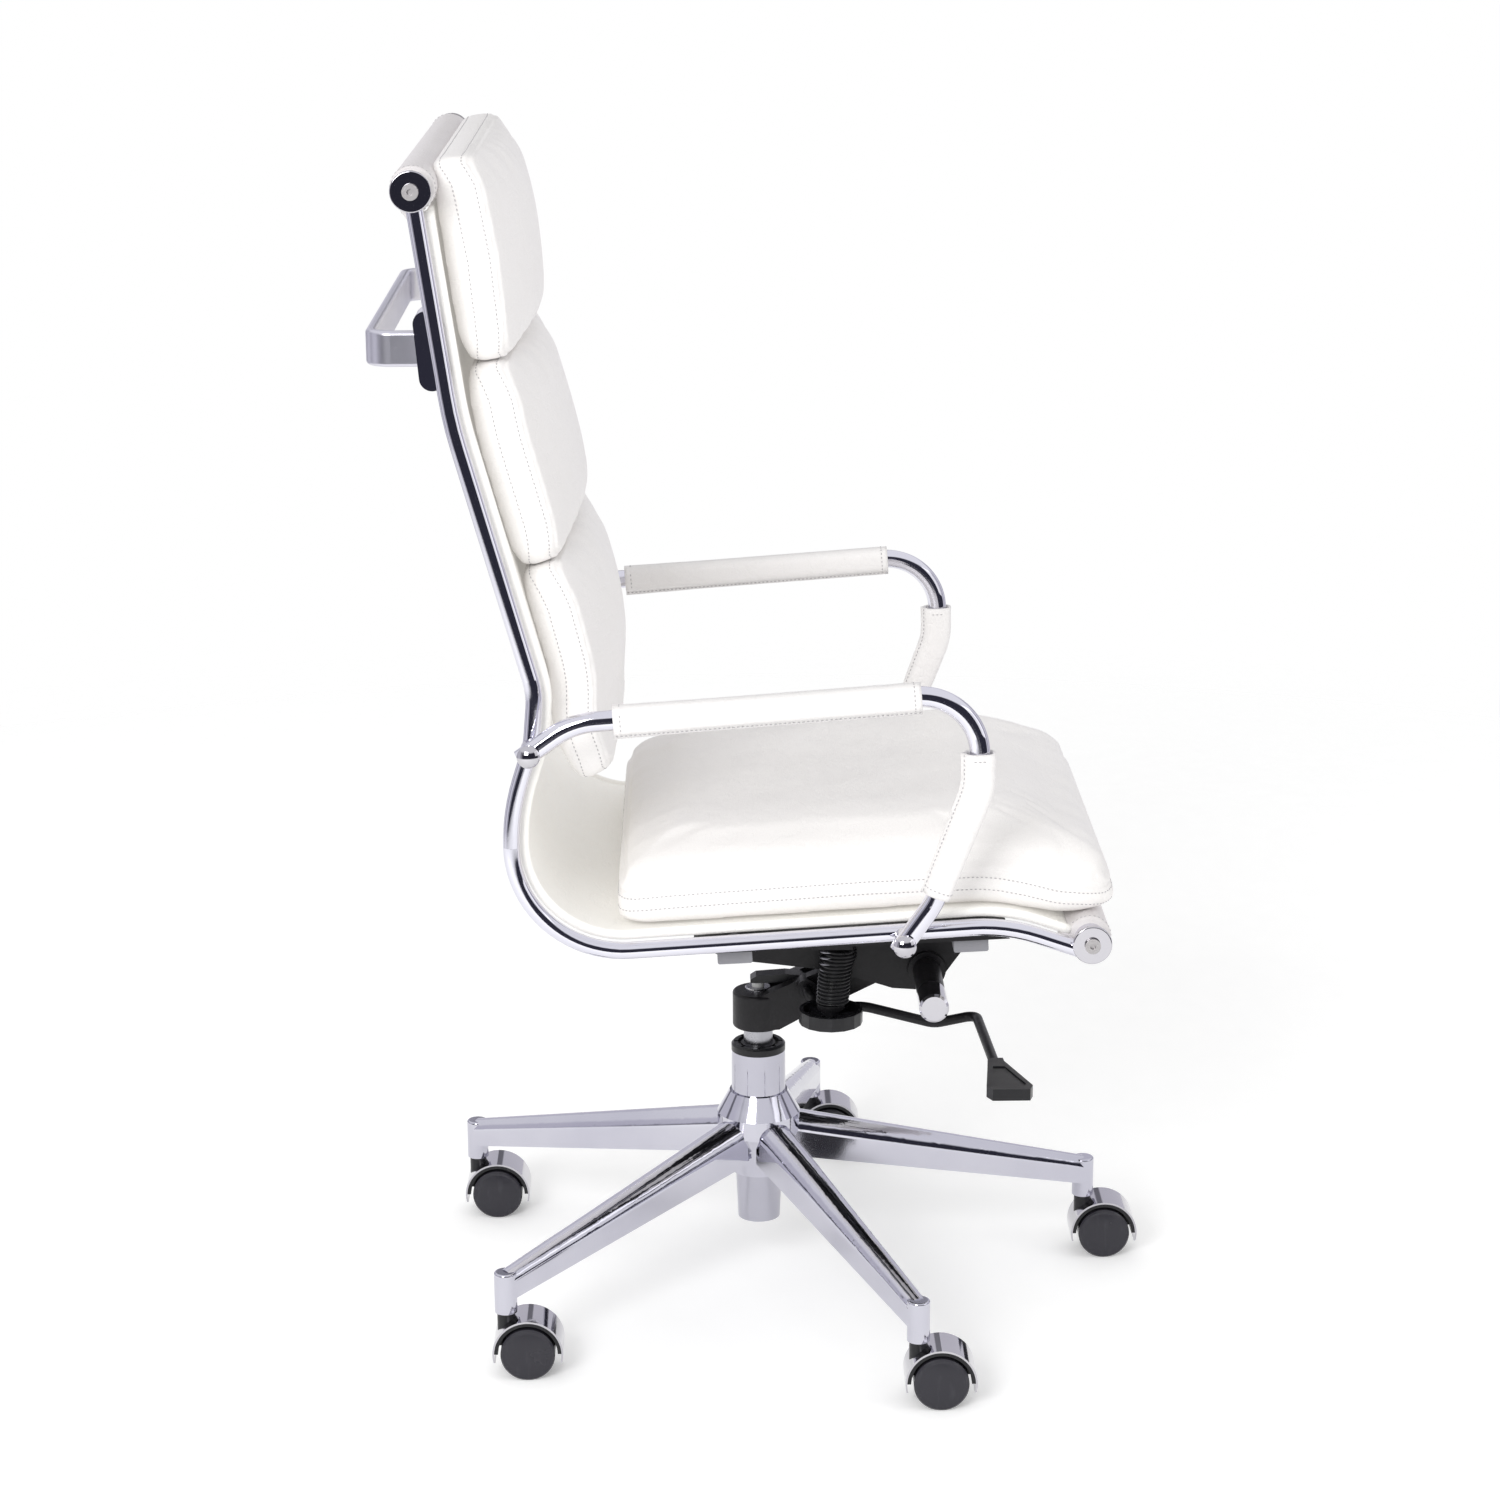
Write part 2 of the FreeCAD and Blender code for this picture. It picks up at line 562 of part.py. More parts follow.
def seat_stretchers():
    """Two grey flat bars across the chair, under the rails."""
    bars = []
    for y in (0.0, -BAR_PITCH):
        bar = box((-BAR_HALF_LENGTH, y - BAR_WIDTH / 2, 0), (BAR_HALF_LENGTH, y + BAR_WIDTH / 2, BAR_HEIGHT))
        bar = bar.makeFillet(2.0, [edge for edge in bar.Edges if edge.Length > 2 * BAR_HALF_LENGTH - 1])
        bars.append(on_seat_plane(bar).cut(plane_holes()))
    return Part.makeCompound(bars)


def support_plate():
    """Thin black plate on the bars, with four lugs welded to the inner faces of the rails."""
    plate = box((-RAIL_INNER_X, -BAR_PITCH - 34, BAR_HEIGHT), (RAIL_INNER_X, 36, BAR_HEIGHT + SHEET))
    window = box((-170, -BAR_PITCH + 40, BAR_HEIGHT - 1), (170, -40, BAR_HEIGHT + SHEET + 1))
    plate = plate.cut(window)
    lug_top = BAR_HEIGHT + SHEET + LUG_RISE
    for y in (0.0, -BAR_PITCH):
        lug = box((RAIL_INNER_X - SHEET, y - BAR_WIDTH / 2, BAR_HEIGHT), (RAIL_INNER_X, y + BAR_WIDTH / 2, lug_top))
        plate = plate.fuse(lug).fuse(mirrored(lug))
    return on_seat_plane(plate.removeSplitter()).cut(plane_holes())


def mounting_bolts():
    """Bolts that hold the tray, bars and support plate together."""
    bolts = []
    for x, y in plane_bolt_places():
        under = -SHEET if abs(x) < SKIRT_X else 0.0
        head = cylinder_z(6.5, under - 4.0, under, (x, y))
        nut = hexagon_nut(6.0, BAR_HEIGHT + SHEET, BAR_HEIGHT + SHEET + 4.0, (x, y), 2.0)
        shank = cylinder_z(3.0, under - 1.0, BAR_HEIGHT + SHEET + 3.0, (x, y))
        bolts.append(on_seat_plane(head.fuse(shank).fuse(nut)))
    return Part.makeCompound(bolts)


# ---- side frame ----

def side_rail():
    """Right-hand rail: a flat-oval bar bent from the top crossbar to the front crossbar."""
    path = side_wire(RAIL_CORNERS, 0)
    section = rounded_rectangle(-RAIL_HALF_DEPTH, RAIL_HALF_DEPTH, -RAIL_OUTER_X, -RAIL_INNER_X, RAIL_EDGE_R)
    rail = swept(path, section, (1, 0, 0))
    for y, z in (CROSSBAR_TOP, CROSSBAR_FRONT):
        rail = rail.cut(cylinder_x(CROSSBAR_R, -270, -230, (y, z)))
    for y, z in (REAR_STUD, FRONT_STUD):
        rail = rail.cut(cylinder_x(4.0, -261, -249, (y, z)))
    return rail


def crossbar(centre):
    """Tube across the chair at one end of the rails; centre is (y, z)."""
    outer = cylinder_x(CROSSBAR_R, -RAIL_OUTER_X, RAIL_OUTER_X, centre)
    return outer.cut(cylinder_x(CROSSBAR_R - 2.5, -RAIL_OUTER_X - 1, RAIL_OUTER_X + 1, centre))


def roll(centre):
    """Leather roll round a crossbar, between the rails."""
    reach = RAIL_INNER_X - 1.5
    return cylinder_x(ROLL_R, -reach, reach, centre).cut(cylinder_x(CROSSBAR_R, -reach - 1, reach + 1, centre))


def crossbar_end_caps():
    """Four washers with plugs that close the crossbars' ends."""
    caps = []
    for centre in (CROSSBAR_TOP, CROSSBAR_FRONT):
        disc = cylinder_x(END_CAP_R, RAIL_OUTER_X, RAIL_OUTER_X + 3.0, centre)
        disc = disc.makeFillet(1.2, [edge for edge in disc.Edges
                                     if abs(edge.CenterOfMass.x - RAIL_OUTER_X - 3.0) < 0.1])
        plug = cylinder_x(CROSSBAR_R - 2.5, RAIL_OUTER_X - 14.0, RAIL_OUTER_X, centre)
        cap = disc.fuse(plug).cut(cylinder_x(3.0, RAIL_OUTER_X - 15, RAIL_OUTER_X + 4, centre))
        caps += [cap, mirrored(cap)]
    return Part.makeCompound(caps)


def crossbar_bolts():
    """Four socket-head bolts through the end caps."""
    bolts = []
    for centre in (CROSSBAR_TOP, CROSSBAR_FRONT):
        head = cylinder_x(7.0, RAIL_OUTER_X + 3.0, RAIL_OUTER_X + 6.0, centre)
        shank = cylinder_x(3.0, RAIL_OUTER_X - 20.0, RAIL_OUTER_X + 4.0, centre)
        bolt = head.fuse(shank).cut(cylinder_x(2.6, RAIL_OUTER_X + 4.0, RAIL_OUTER_X + 7.0, centre))
        bolts += [bolt, mirrored(bolt)]
    return bolts


# ---- armrests ----

def arm_corners():
    """The armrest's centre line, run on past both studs."""
    rear = beyond(REAR_STUD, ARM_TOP_REAR, 9.0)
    front = beyond(FRONT_STUD, ARM_SHIN, 9.0)
    return [rear, ARM_TOP_REAR, ARM_TOP_FRONT, ARM_KNEE, ARM_SHIN, front]


def arm_section(depth, thickness):
    """Flat-oval section of the armrest, on the right-hand side."""
    radius = thickness / 2 - 0.01
    return rounded_rectangle(-depth / 2, depth / 2, -ARM_X - thickness / 2, -ARM_X + thickness / 2, radius)


def arm_tube():
    """Right-hand armrest: one bent oval bar."""
    bar = swept(side_wire(arm_corners(), 0), arm_section(ARM_DEPTH, ARM_THICKNESS), (1, 0, 0))
    for y, z in (REAR_STUD, FRONT_STUD):
        bar = bar.cut(cylinder_x(4.0, -300, -250, (y, z)))
    return bar


def arm_bolts():
    """Four bolts with domed heads and the spacers between arm and rail."""
    pieces = []
    outer = ARM_X + ARM_THICKNESS / 2
    for centre in (REAR_STUD, FRONT_STUD):
        head = cylinder_x(ARM_BOLT_R, outer, outer + 3.0, centre)
        dome = Part.makeSphere(ARM_DOME_R, Vector(outer - 4.5, centre[0], centre[1]))
        dome = dome.common(cylinder_x(ARM_BOLT_R, outer + 3.0, outer + 12.0, centre))
        shank = cylinder_x(4.0, RAIL_OUTER_X - 9.0, outer + 1.0, centre)
        bolt = head.fuse(dome).fuse(shank)
        pieces += [bolt, mirrored(bolt)]
    return pieces


def arm_spacers():
    """Four round spacers between the rails and the armrests."""
    pieces = []
    for centre in (REAR_STUD, FRONT_STUD):
        spacer = cylinder_x(8.0, RAIL_OUTER_X, ARM_X - ARM_THICKNESS / 2, centre)
        spacer = spacer.cut(cylinder_x(4.0, RAIL_OUTER_X - 1, ARM_X, centre))
        pieces += [spacer, mirrored(spacer)]
    return pieces


def arm_sleeve(corners):
    """Leather sleeve round a stretch of the right-hand armrest."""
    path = side_wire(corners, 0)
    outer = swept(path, arm_section(ARM_DEPTH + 6.0, ARM_THICKNESS + 6.0), (1, 0, 0))
    inner = swept(path, arm_section(ARM_DEPTH + 0.3, ARM_THICKNESS + 0.3), (1, 0, 0))
    return outer.cut(inner)


def arm_sleeves():
    """Upper and lower leather sleeves of the right-hand armrest."""
    upper = arm_sleeve([(128.0, 634.5, 0), (-137.0, 653.4, 0)])
    lower = arm_sleeve([(-187.95, 603.0, 0), ARM_KNEE, (-151.8, 473.5, 0)])
    return Part.makeCompound([upper, lower])


# ---- back handle ----

def back_handle():
    """Rounded flat bar bent to a U behind the back."""
    outer_y = 333.0
    path = bent_wire([
        (Vector(-HANDLE_X, 275.0, HANDLE_Z), 0),
        (Vector(-HANDLE_X, outer_y, HANDLE_Z), 18.0),
        (Vector(HANDLE_X, outer_y, HANDLE_Z), 18.0),
        (Vector(HANDLE_X, 275.0, HANDLE_Z), 0)])
    section = rounded_rectangle(-HANDLE_THICKNESS / 2, HANDLE_THICKNESS / 2, -HANDLE_HEIGHT / 2, HANDLE_HEIGHT / 2, 3.5)
    return swept(path, section, (0, 0, 1))


def handle_clamps():
    """Two oblong blocks that join the handle's legs to the rails."""
    low = Vector(0, 277.5, 926.0)
    high = Vector(0, 281.5, 972.0)
    inner = HANDLE_X + HANDLE_THICKNESS / 2
    axis = (high - low).normalize()
    across = Vector(1, 0, 0).cross(axis)
    core_points = [low + across * 11, high + across * 11, high - across * 11, low - across * 11]
    core = side_plate([(p.y, p.z) for p in core_points], inner, RAIL_INNER_X)
    block = core
    for end in (low, high):
        block = block.fuse(cylinder_x(11.0, inner, RAIL_INNER_X, (end.y, end.z)))
    return on_both_sides(block.removeSplitter())


def handle_screws():
    """Screws that hold the clamps on the handle's legs, two on each side."""
    screws = []
    inner = HANDLE_X - HANDLE_THICKNESS / 2
    for z in (HANDLE_Z - 7.0, HANDLE_Z + 7.0):
        head = cylinder_x(4.5, inner - 2.0, inner, (283.0, z))
        screws += [head, mirrored(head)]
    return screws


# ---- soft parts ----

def sling():
    """Leather sling from the top roll down the back and along the seat to the front roll."""
    path = side_wire([SLING_START] + RAIL_CORNERS[1:-1] + [SLING_END], 0)
    reach = RAIL_INNER_X - 1.0
    section = rounded_rectangle(-SLING_FRONT_OFFSET, -SLING_BACK_OFFSET, -reach, reach, 0)
    return swept(path, section, (1, 0, 0))


def pad(outline, half_width):
    """Plain closed form of a cushion from its side outline."""
    return side_plate(outline, -half_width, half_width)


def back_pad(rear_top, rear_bottom, thickness):
    """Back cushion between two points of its rear face, both (y, z)."""
    top = Vector(0, *rear_top)
    bottom = Vector(0, *rear_bottom)
    forward = (bottom - top).normalize().cross(Vector(1, 0, 0))
    if forward.y > 0:
        forward = -forward
    outline = [top, bottom, bottom + forward * thickness, top + forward * thickness]
    return pad([(p.y, p.z) for p in outline], BACK_PAD_HALF_WIDTH)


def back_pad_top():
    """Top back cushion, hollowed where the top roll passes behind it."""
    cushion = back_pad((273.0, 1104.0), (252.0, 936.0), 57.0)
    return cushion.cut(cylinder_x(ROLL_R + 0.5, -BACK_PAD_HALF_WIDTH - 1, BACK_PAD_HALF_WIDTH + 1, CROSSBAR_TOP))


def back_pad_lower():
    """Lower back cushion, which follows the rails' kink above the seat."""
    return pad([(206.5, 751), (182.5, 653), (184, 606), (166, 562), (133, 562), (128, 614), (136, 693), (152, 757)],
               BACK_PAD_HALF_WIDTH)


def seat_pad():
    """Seat cushion with a rounded front."""
    return pad([(124, 430.5), (-175, 449.5), (-214, 452), (-262, 439.8), (-303, 443), (-317, 460), (-311, 484),
                (-285, 499), (-220, 507), (0, 507), (127, 498)], SEAT_PAD_HALF_WIDTH)


# ---- castors ----

def wheel_centre(angle):
    """Centre of a castor's wheel pair; the castors trail to the front."""
    return socket_centre(angle) + Vector(0, -CASTOR_TRAIL, WHEEL_R)


def arch(inner_r, outer_r, half_width, droop):
    """Part-ring over a wheel pair, centred on the X axis; droop is how far its lips hang below."""
    ring = cylinder_x(outer_r, -half_width, half_width, (0, 0)).cut(cylinder_x(inner_r, -30, 30, (0, 0)))
    return ring.cut(box((-40, -50, -60), (40, 50, -droop)))


def castor_frame(angle):
    """Black nylon body: neck, web between the wheels and the arch under the hood."""
    web = cylinder_x(19.0, -3.5, 3.5, (0, 0))
    web = web.fuse(box((-3.5, -20, 0), (3.5, 20, 20)).common(cylinder_x(HOOD_R - HOOD_WALL, -4, 4, (0, 0))))
    spoke = arch(18.0, HOOD_R - HOOD_WALL, 3.5, -2.0)
    shell = arch(27.3, HOOD_R - HOOD_WALL, HOOD_HALF_WIDTH - 1.0, 0.0)
    neck = cylinder_z(NECK_R, 3.0, SOCKET_BOTTOM_Z - WHEEL_R - 0.3, (0, CASTOR_TRAIL))
    wheel_room = cylinder_x(27.3, 3.5, 40.0, (0, 0))
    neck = neck.cut(wheel_room).cut(mirrored(wheel_room))
    body = web.fuse(spoke).fuse(shell).fuse(neck)
    body = body.cut(cylinder_x(CASTOR_AXLE_R, -10, 10, (0, 0)))
    body = body.cut(cylinder_z(STEM_R, STEM_LOW, 60.0, (0, CASTOR_TRAIL)))
    body.translate(wheel_centre(angle))
    return body.removeSplitter()


def castor_hood(angle):
    """Chrome hood over the wheel pair, cut round the neck."""
    hood = arch(HOOD_R - HOOD_WALL, HOOD_R, HOOD_HALF_WIDTH, 8.0)
    hood = hood.cut(cylinder_z(NECK_R, 0.0, 60.0, (0, CASTOR_TRAIL)))
    hood.translate(wheel_centre(angle))
    return hood


def castor_pins(angle):
    """Swivel stem and wheel axle."""
    stem = cylinder_z(STEM_R, STEM_LOW, STEM_TOP_Z - WHEEL_R, (0, CASTOR_TRAIL))
    axle = cylinder_x(CASTOR_AXLE_R, -CASTOR_AXLE_HALF, CASTOR_AXLE_HALF, (0, 0))
    pins = Part.makeCompound([stem, axle])
    pins.translate(wheel_centre(angle))
    return pins


def castor_wheels(angle):
    """Pair of solid wheels with domed outer faces."""
    face_x = 21.7
    face_r = 21.0
    rise = WHEEL_OUTER_X - face_x
    dome_r = (rise * rise + face_r * face_r) / (2 * rise)
    tread = cylinder_x(WHEEL_R, WHEEL_INNER_X, face_x, (0, 0))
    tread = tread.makeChamfer(1.5, [tread.Edges[0], tread.Edges[2]])
    dome = Part.makeSphere(dome_r, Vector(WHEEL_OUTER_X - dome_r, 0, 0))
    dome = dome.common(cylinder_x(face_r, face_x - 0.5, WHEEL_OUTER_X + 1, (0, 0)))
    wheel = tread.fuse(dome).cut(cylinder_x(CASTOR_AXLE_R + RUNNING_GAP, 0, CASTOR_AXLE_HALF + 0.5, (0, 0)))
    pair = on_both_sides(wheel)
    pair.translate(wheel_centre(angle))
    return pair


# ---- assembly ----

def parts():
    """Every node's name and shape."""
    rail = side_rail()
    arm = arm_tube()
    nodes = {
        "star_base": star_base(),
        "lift_outer_tube": lift_outer_tube(),
        "lift_guide_bushing": lift_guide_bushing(),
        "lift_thrust_bearing": lift_thrust_bearing(),
        "lift_piston_rod": lift_piston_rod(),
        "lift_rod_clip": lift_rod_clip(),
        "lift_cylinder": lift_cylinder(),
        "release_pin": release_pin(),
        "carrier_arm": carrier_arm(),
        "pivot_axle": pivot_axle(),
        "release_rocker": release_rocker(),
        "lever_rod": lever_rod(),
        "lever_paddle": lever_paddle(),
        "tension_knob": tension_knob(),
        "tension_bolt": tension_bolt(),
        "tension_spring": tension_spring(),
        "tension_bellows": tension_bellows(),
        "seat_plate": seat_plate(),
        "pivot_side_tubes": pivot_side_tubes(),
        "pivot_tube_caps": pivot_tube_caps(),
        "seat_stretchers": seat_stretchers(),
        "support_plate": support_plate(),
        "mounting_bolts": mounting_bolts(),
        "side_rail_right": rail,
        "side_rail_left": mirrored(rail),
        "crossbars": Part.makeCompound([crossbar(CROSSBAR_TOP), crossbar(CROSSBAR_FRONT)]),
        "sling_rolls": Part.makeCompound([roll(CROSSBAR_TOP), roll(CROSSBAR_FRONT)]),
        "crossbar_end_caps": crossbar_end_caps(),
        "frame_screws": Part.makeCompound(crossbar_bolts() + handle_screws()),
        "arm_tube_right": arm,
        "arm_tube_left": mirrored(arm),
        "arm_sleeves": on_both_sides(arm_sleeves()),
        "arm_fixings": Part.makeCompound(arm_bolts() + arm_spacers()),
        "back_handle": back_handle(),
        "handle_clamps": handle_clamps(),
        "sling": sling(),
        "back_pad_top": back_pad_top(),
        "back_pad_middle": back_pad((248.5, 929.0), (206.5, 757.0), 56.0),
        "back_pad_lower": back_pad_lower(),
        "seat_pad": seat_pad(),
    }
    for number, angle in enumerate(leg_angles(), 1):
        nodes[f"castor_{number}_frame"] = castor_frame(angle)
        nodes[f"castor_{number}_hood"] = castor_hood(angle)
        nodes[f"castor_{number}_wheels"] = castor_wheels(angle)
        nodes[f"castor_{number}_pins"] = castor_pins(angle)
    return nodes


def main():
    """Write one STEP file for each node."""
    os.makedirs("parts", exist_ok=True)
    for name, shape in parts().items():
        shape.exportStep(f"parts/{name}.step")
        print(name, len(shape.Solids), round(shape.Volume / 1000, 1), shape.isValid())


main()
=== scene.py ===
"""Looks of a swivel office chair: sewn leather, chrome, steel and plastics round its CAD frame.

Metres, in the part's frame: +Z up, +X the sitter's left, the sitter faces -Y.
"""
import json
import logging
import math
from dataclasses import dataclass
from enum import Enum
from typing import ClassVar, Optional, Sequence, Union

import bmesh
import bpy
import numpy as np
from mathutils import Matrix, Vector, noise
from mathutils.bvhtree import BVHTree
from mathutils.kdtree import KDTree


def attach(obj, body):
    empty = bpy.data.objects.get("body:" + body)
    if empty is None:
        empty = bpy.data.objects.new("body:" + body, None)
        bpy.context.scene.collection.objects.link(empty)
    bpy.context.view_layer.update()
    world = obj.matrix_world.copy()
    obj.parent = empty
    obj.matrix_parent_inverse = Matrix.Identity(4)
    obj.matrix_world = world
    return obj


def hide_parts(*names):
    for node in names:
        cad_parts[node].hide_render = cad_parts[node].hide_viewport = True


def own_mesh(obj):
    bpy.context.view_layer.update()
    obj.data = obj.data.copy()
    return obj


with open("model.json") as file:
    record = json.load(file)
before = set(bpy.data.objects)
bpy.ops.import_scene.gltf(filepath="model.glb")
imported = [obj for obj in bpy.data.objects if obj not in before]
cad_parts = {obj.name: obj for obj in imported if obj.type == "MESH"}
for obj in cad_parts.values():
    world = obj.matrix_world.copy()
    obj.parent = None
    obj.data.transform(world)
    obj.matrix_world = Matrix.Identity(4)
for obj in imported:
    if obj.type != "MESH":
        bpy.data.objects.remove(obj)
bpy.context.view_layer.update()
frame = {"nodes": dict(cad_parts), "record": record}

log = logging.getLogger("chair")

Point = tuple[float, float]
Corner = tuple[float, float, float]
Color = tuple[float, float, float]
Socket = bpy.types.NodeSocket
Value = Union[Socket, float]
Shade = Union[Socket, Color]

RAIL_X = 0.242
RAIL_CORNERS: list[Corner] = [
    (0.262, 0.890, 0.350), (0.196, 0.652, 0.070), (0.200, 0.606, 0.080), (0.2195, 0.545, 0.200),
    (0.2195, 0.411, 0.097), (-0.215, 0.4372, 0.150)]
SLING_START: Corner = (0.2870, 1.0655, 0.0)
SLING_END: Corner = (-0.2695, 0.4183, 0.0)
SLING_MIDDLE = 0.0105
SLING_HALF_WIDTH = 0.2405
LEATHER_WALL = 0.004
TOP_BAR: Point = (0.2896, 1.0850)
FRONT_BAR: Point = (-0.2910, 0.4210)
ARM_X = 0.276
ARM_KNEE: Corner = (-0.1885, 0.572, 0.060)


class Look(Enum):
    """Finishes of the pieces that Blender adds."""

    CUSHION = "pad_leather"
    SLING = "sling_leather"
    SLEEVE = "sleeve_leather"
    THREAD = "sewing_thread"
    BELLOWS = "bellows_rubber"


# ---- node helpers ----

def node(tree: bpy.types.NodeTree, kind: str, inputs: Optional[dict] = None,
         **attributes: object) -> bpy.types.Node:
    """Adds a shader node.

    Args:
        tree: node tree it goes in.
        kind: node type without the leading "ShaderNode".
        inputs: value or output socket for each named or numbered input.
        attributes: node properties.

    Returns:
        The new node.
    """
    made = tree.nodes.new("ShaderNode" + kind)
    for key, value in attributes.items():
        setattr(made, key, value)
    for key, value in (inputs or {}).items():
        socket = made.inputs[key]
        if isinstance(value, Socket):
            tree.links.new(value, socket)
        else:
            socket.default_value = value
    return made


def remap(tree: bpy.types.NodeTree, value: Socket, low: float, high: float, to_low: float = 0.0,
          to_high: float = 1.0) -> Socket:
    """Value moved from one range to another and kept inside it.

    Args:
        tree: node tree it is worked out in.
        value: the value's socket.
        low: start of its range.
        high: end of its range.
        to_low: start of the new range.
        to_high: end of the new range.

    Returns:
        The new value's socket.
    """
    return node(tree, "MapRange", {"Value": value, "From Min": low, "From Max": high,
                                   "To Min": to_low, "To Max": to_high}).outputs["Result"]


def sums(tree: bpy.types.NodeTree, kind: str, first: Value, second: Value = 0.0) -> Socket:
    """Result of a one-input or two-input sum."""
    return node(tree, "Math", {0: first, 1: second}, operation=kind).outputs[0]


def grey(tree: bpy.types.NodeTree, value: Socket) -> Socket:
    """Grey of a given strength."""
    return node(tree, "CombineColor", {0: value, 1: value, 2: value}).outputs[0]


def rgba(color: Color) -> tuple[float, float, float, float]:
    """Colour with full alpha."""
    return (*color, 1.0)


class Board:
    """One material's node tree, with the patterns that several finishes share."""

    def __init__(self, name: str) -> None:
        """Starts an empty material with its output and shader.

        Args:
            name: name of the material.
        """
        self.material = bpy.data.materials.new(name)
        self.material.use_nodes = True
        self.tree = self.material.node_tree
        self.tree.nodes.clear()
        self.shader = node(self.tree, "BsdfPrincipled")
        output = node(self.tree, "OutputMaterial")
        self.tree.links.new(self.shader.outputs["BSDF"], output.inputs["Surface"])
        self.place = node(self.tree, "TexCoord").outputs["Object"]

    def stretched(self, scale: Sequence[float]) -> Socket:
        """Object coordinates scaled along each axis."""
        return node(self.tree, "Mapping", {"Vector": self.place, "Scale": tuple(scale)}).outputs["Vector"]

    def noise(self, scale: float, detail: float = 3.0, place: Optional[Socket] = None,
              rough: float = 0.5) -> Socket:
        """Smooth random value from 0 to 1.

        Args:
            scale: how many lumps there are in a metre.
            detail: how many finer layers it has.
            place: coordinates it is read at, or the piece's own.
            rough: share of the finer layers.

        Returns:
            The value's socket.
        """
        made = node(self.tree, "TexNoise", {"Vector": place or self.place, "Scale": scale,
                                            "Detail": detail, "Roughness": rough})
        return made.outputs["Fac"]

    def remap(self, value: Socket, low: float, high: float, to_low: float = 0.0,
              to_high: float = 1.0) -> Socket:
        """Value moved from one range to another and kept inside it."""
        return remap(self.tree, value, low, high, to_low, to_high)

    def math(self, kind: str, first: Value, second: Value = 0.0) -> Socket:
        """Result of a two-input sum."""
        return sums(self.tree, kind, first, second)

    def blend(self, share: Value, first: Shade, second: Shade) -> Socket:
        """Colour between two colours.

        Args:
            share: share of the second colour.
            first: a colour or a colour's socket.
            second: a colour or a colour's socket.

        Returns:
            The mixed colour's socket.
        """
        made = node(self.tree, "Mix", data_type="RGBA")
        for index, value in ((0, share), (6, first), (7, second)):
            if isinstance(value, Socket):
                self.tree.links.new(value, made.inputs[index])
            else:
                made.inputs[index].default_value = value if index == 0 else rgba(value)
        return made.outputs[2]

    def bump(self, height: Socket, distance: float, strength: float,
             below: Optional[Socket] = None) -> Socket:
        """Normal shaped by a height, on top of an earlier normal.

        Args:
            height: the height's socket, from 0 to 1.
            distance: how deep a height of 1 is.
            strength: how much of it shows.
            below: the earlier normal.

        Returns:
            The normal's socket.
        """
        inputs = {"Height": height, "Distance": distance, "Strength": strength}
        if below is not None:
            inputs["Normal"] = below
        return node(self.tree, "Bump", inputs).outputs["Normal"]

    def set(self, **values: object) -> None:
        """Sets or links the shader's inputs.

        Args:
            values: value or socket of each input, named with underscores for spaces.
        """
        for key, value in values.items():
            socket = self.shader.inputs[key.replace("_", " ")]
            if isinstance(value, Socket):
                self.tree.links.new(value, socket)
            else:
                socket.default_value = value


# ---- finishes ----

@dataclass(frozen=True)
class Metal:
    """Bare or plated metal with fine scratches, a soft smear and a faint ripple."""

    slot: str
    color: Color
    tint: Color
    roughness: float
    smear: float
    scratch: float
    ripple: float
    lines: tuple[float, float, float] = (1.0, 1.0, 1.0)

    def build(self) -> bpy.types.Material:
        """Makes the material.

        Returns:
            The material, named as its slot.
        """
        board = Board(self.slot)
        cloud = board.noise(9.0, 4.0)
        speck = board.noise(420.0, 2.0)
        rough = board.remap(cloud, 0.35, 0.7, self.roughness, self.roughness + self.smear)
        rough = board.math("ADD", rough, board.remap(speck, 0.62, 0.8, 0.0, self.smear))
        marks = board.noise(900.0, 3.0, board.stretched(self.lines))
        normal = board.bump(board.noise(16.0, 1.0), 0.002, self.ripple)
        normal = board.bump(marks, 0.0002, self.scratch, normal)
        board.set(Base_Color=board.blend(board.remap(cloud, 0.3, 0.75), self.color, self.tint),
                  Metallic=1.0, Roughness=rough, Normal=normal)
        return board.material


@dataclass(frozen=True)
class Paint:
    """Coat of paint with orange peel, worn lighter patches and dust."""

    slot: str
    color: Color
    worn: Color
    roughness: float
    peel: float
    coat: float = 0.0
    shine: float = 0.5

    def build(self) -> bpy.types.Material:
        """Makes the material.

        Returns:
            The material, named as its slot.
        """
        board = Board(self.slot)
        cloud = board.noise(22.0, 5.0, rough=0.6)
        dust = board.noise(240.0, 4.0)
        share = board.math("MULTIPLY", board.remap(cloud, 0.45, 0.75), board.remap(dust, 0.4, 0.7, 0.2, 1.0))
        normal = board.bump(board.noise(430.0, 2.0), 0.0004, self.peel)
        board.set(Base_Color=board.blend(share, self.color, self.worn), Normal=normal, Coat_Weight=self.coat,
                  Specular_IOR_Level=self.shine, Coat_Roughness=0.12,
                  Roughness=board.remap(dust, 0.3, 0.7, self.roughness, self.roughness + 0.1))
        return board.material


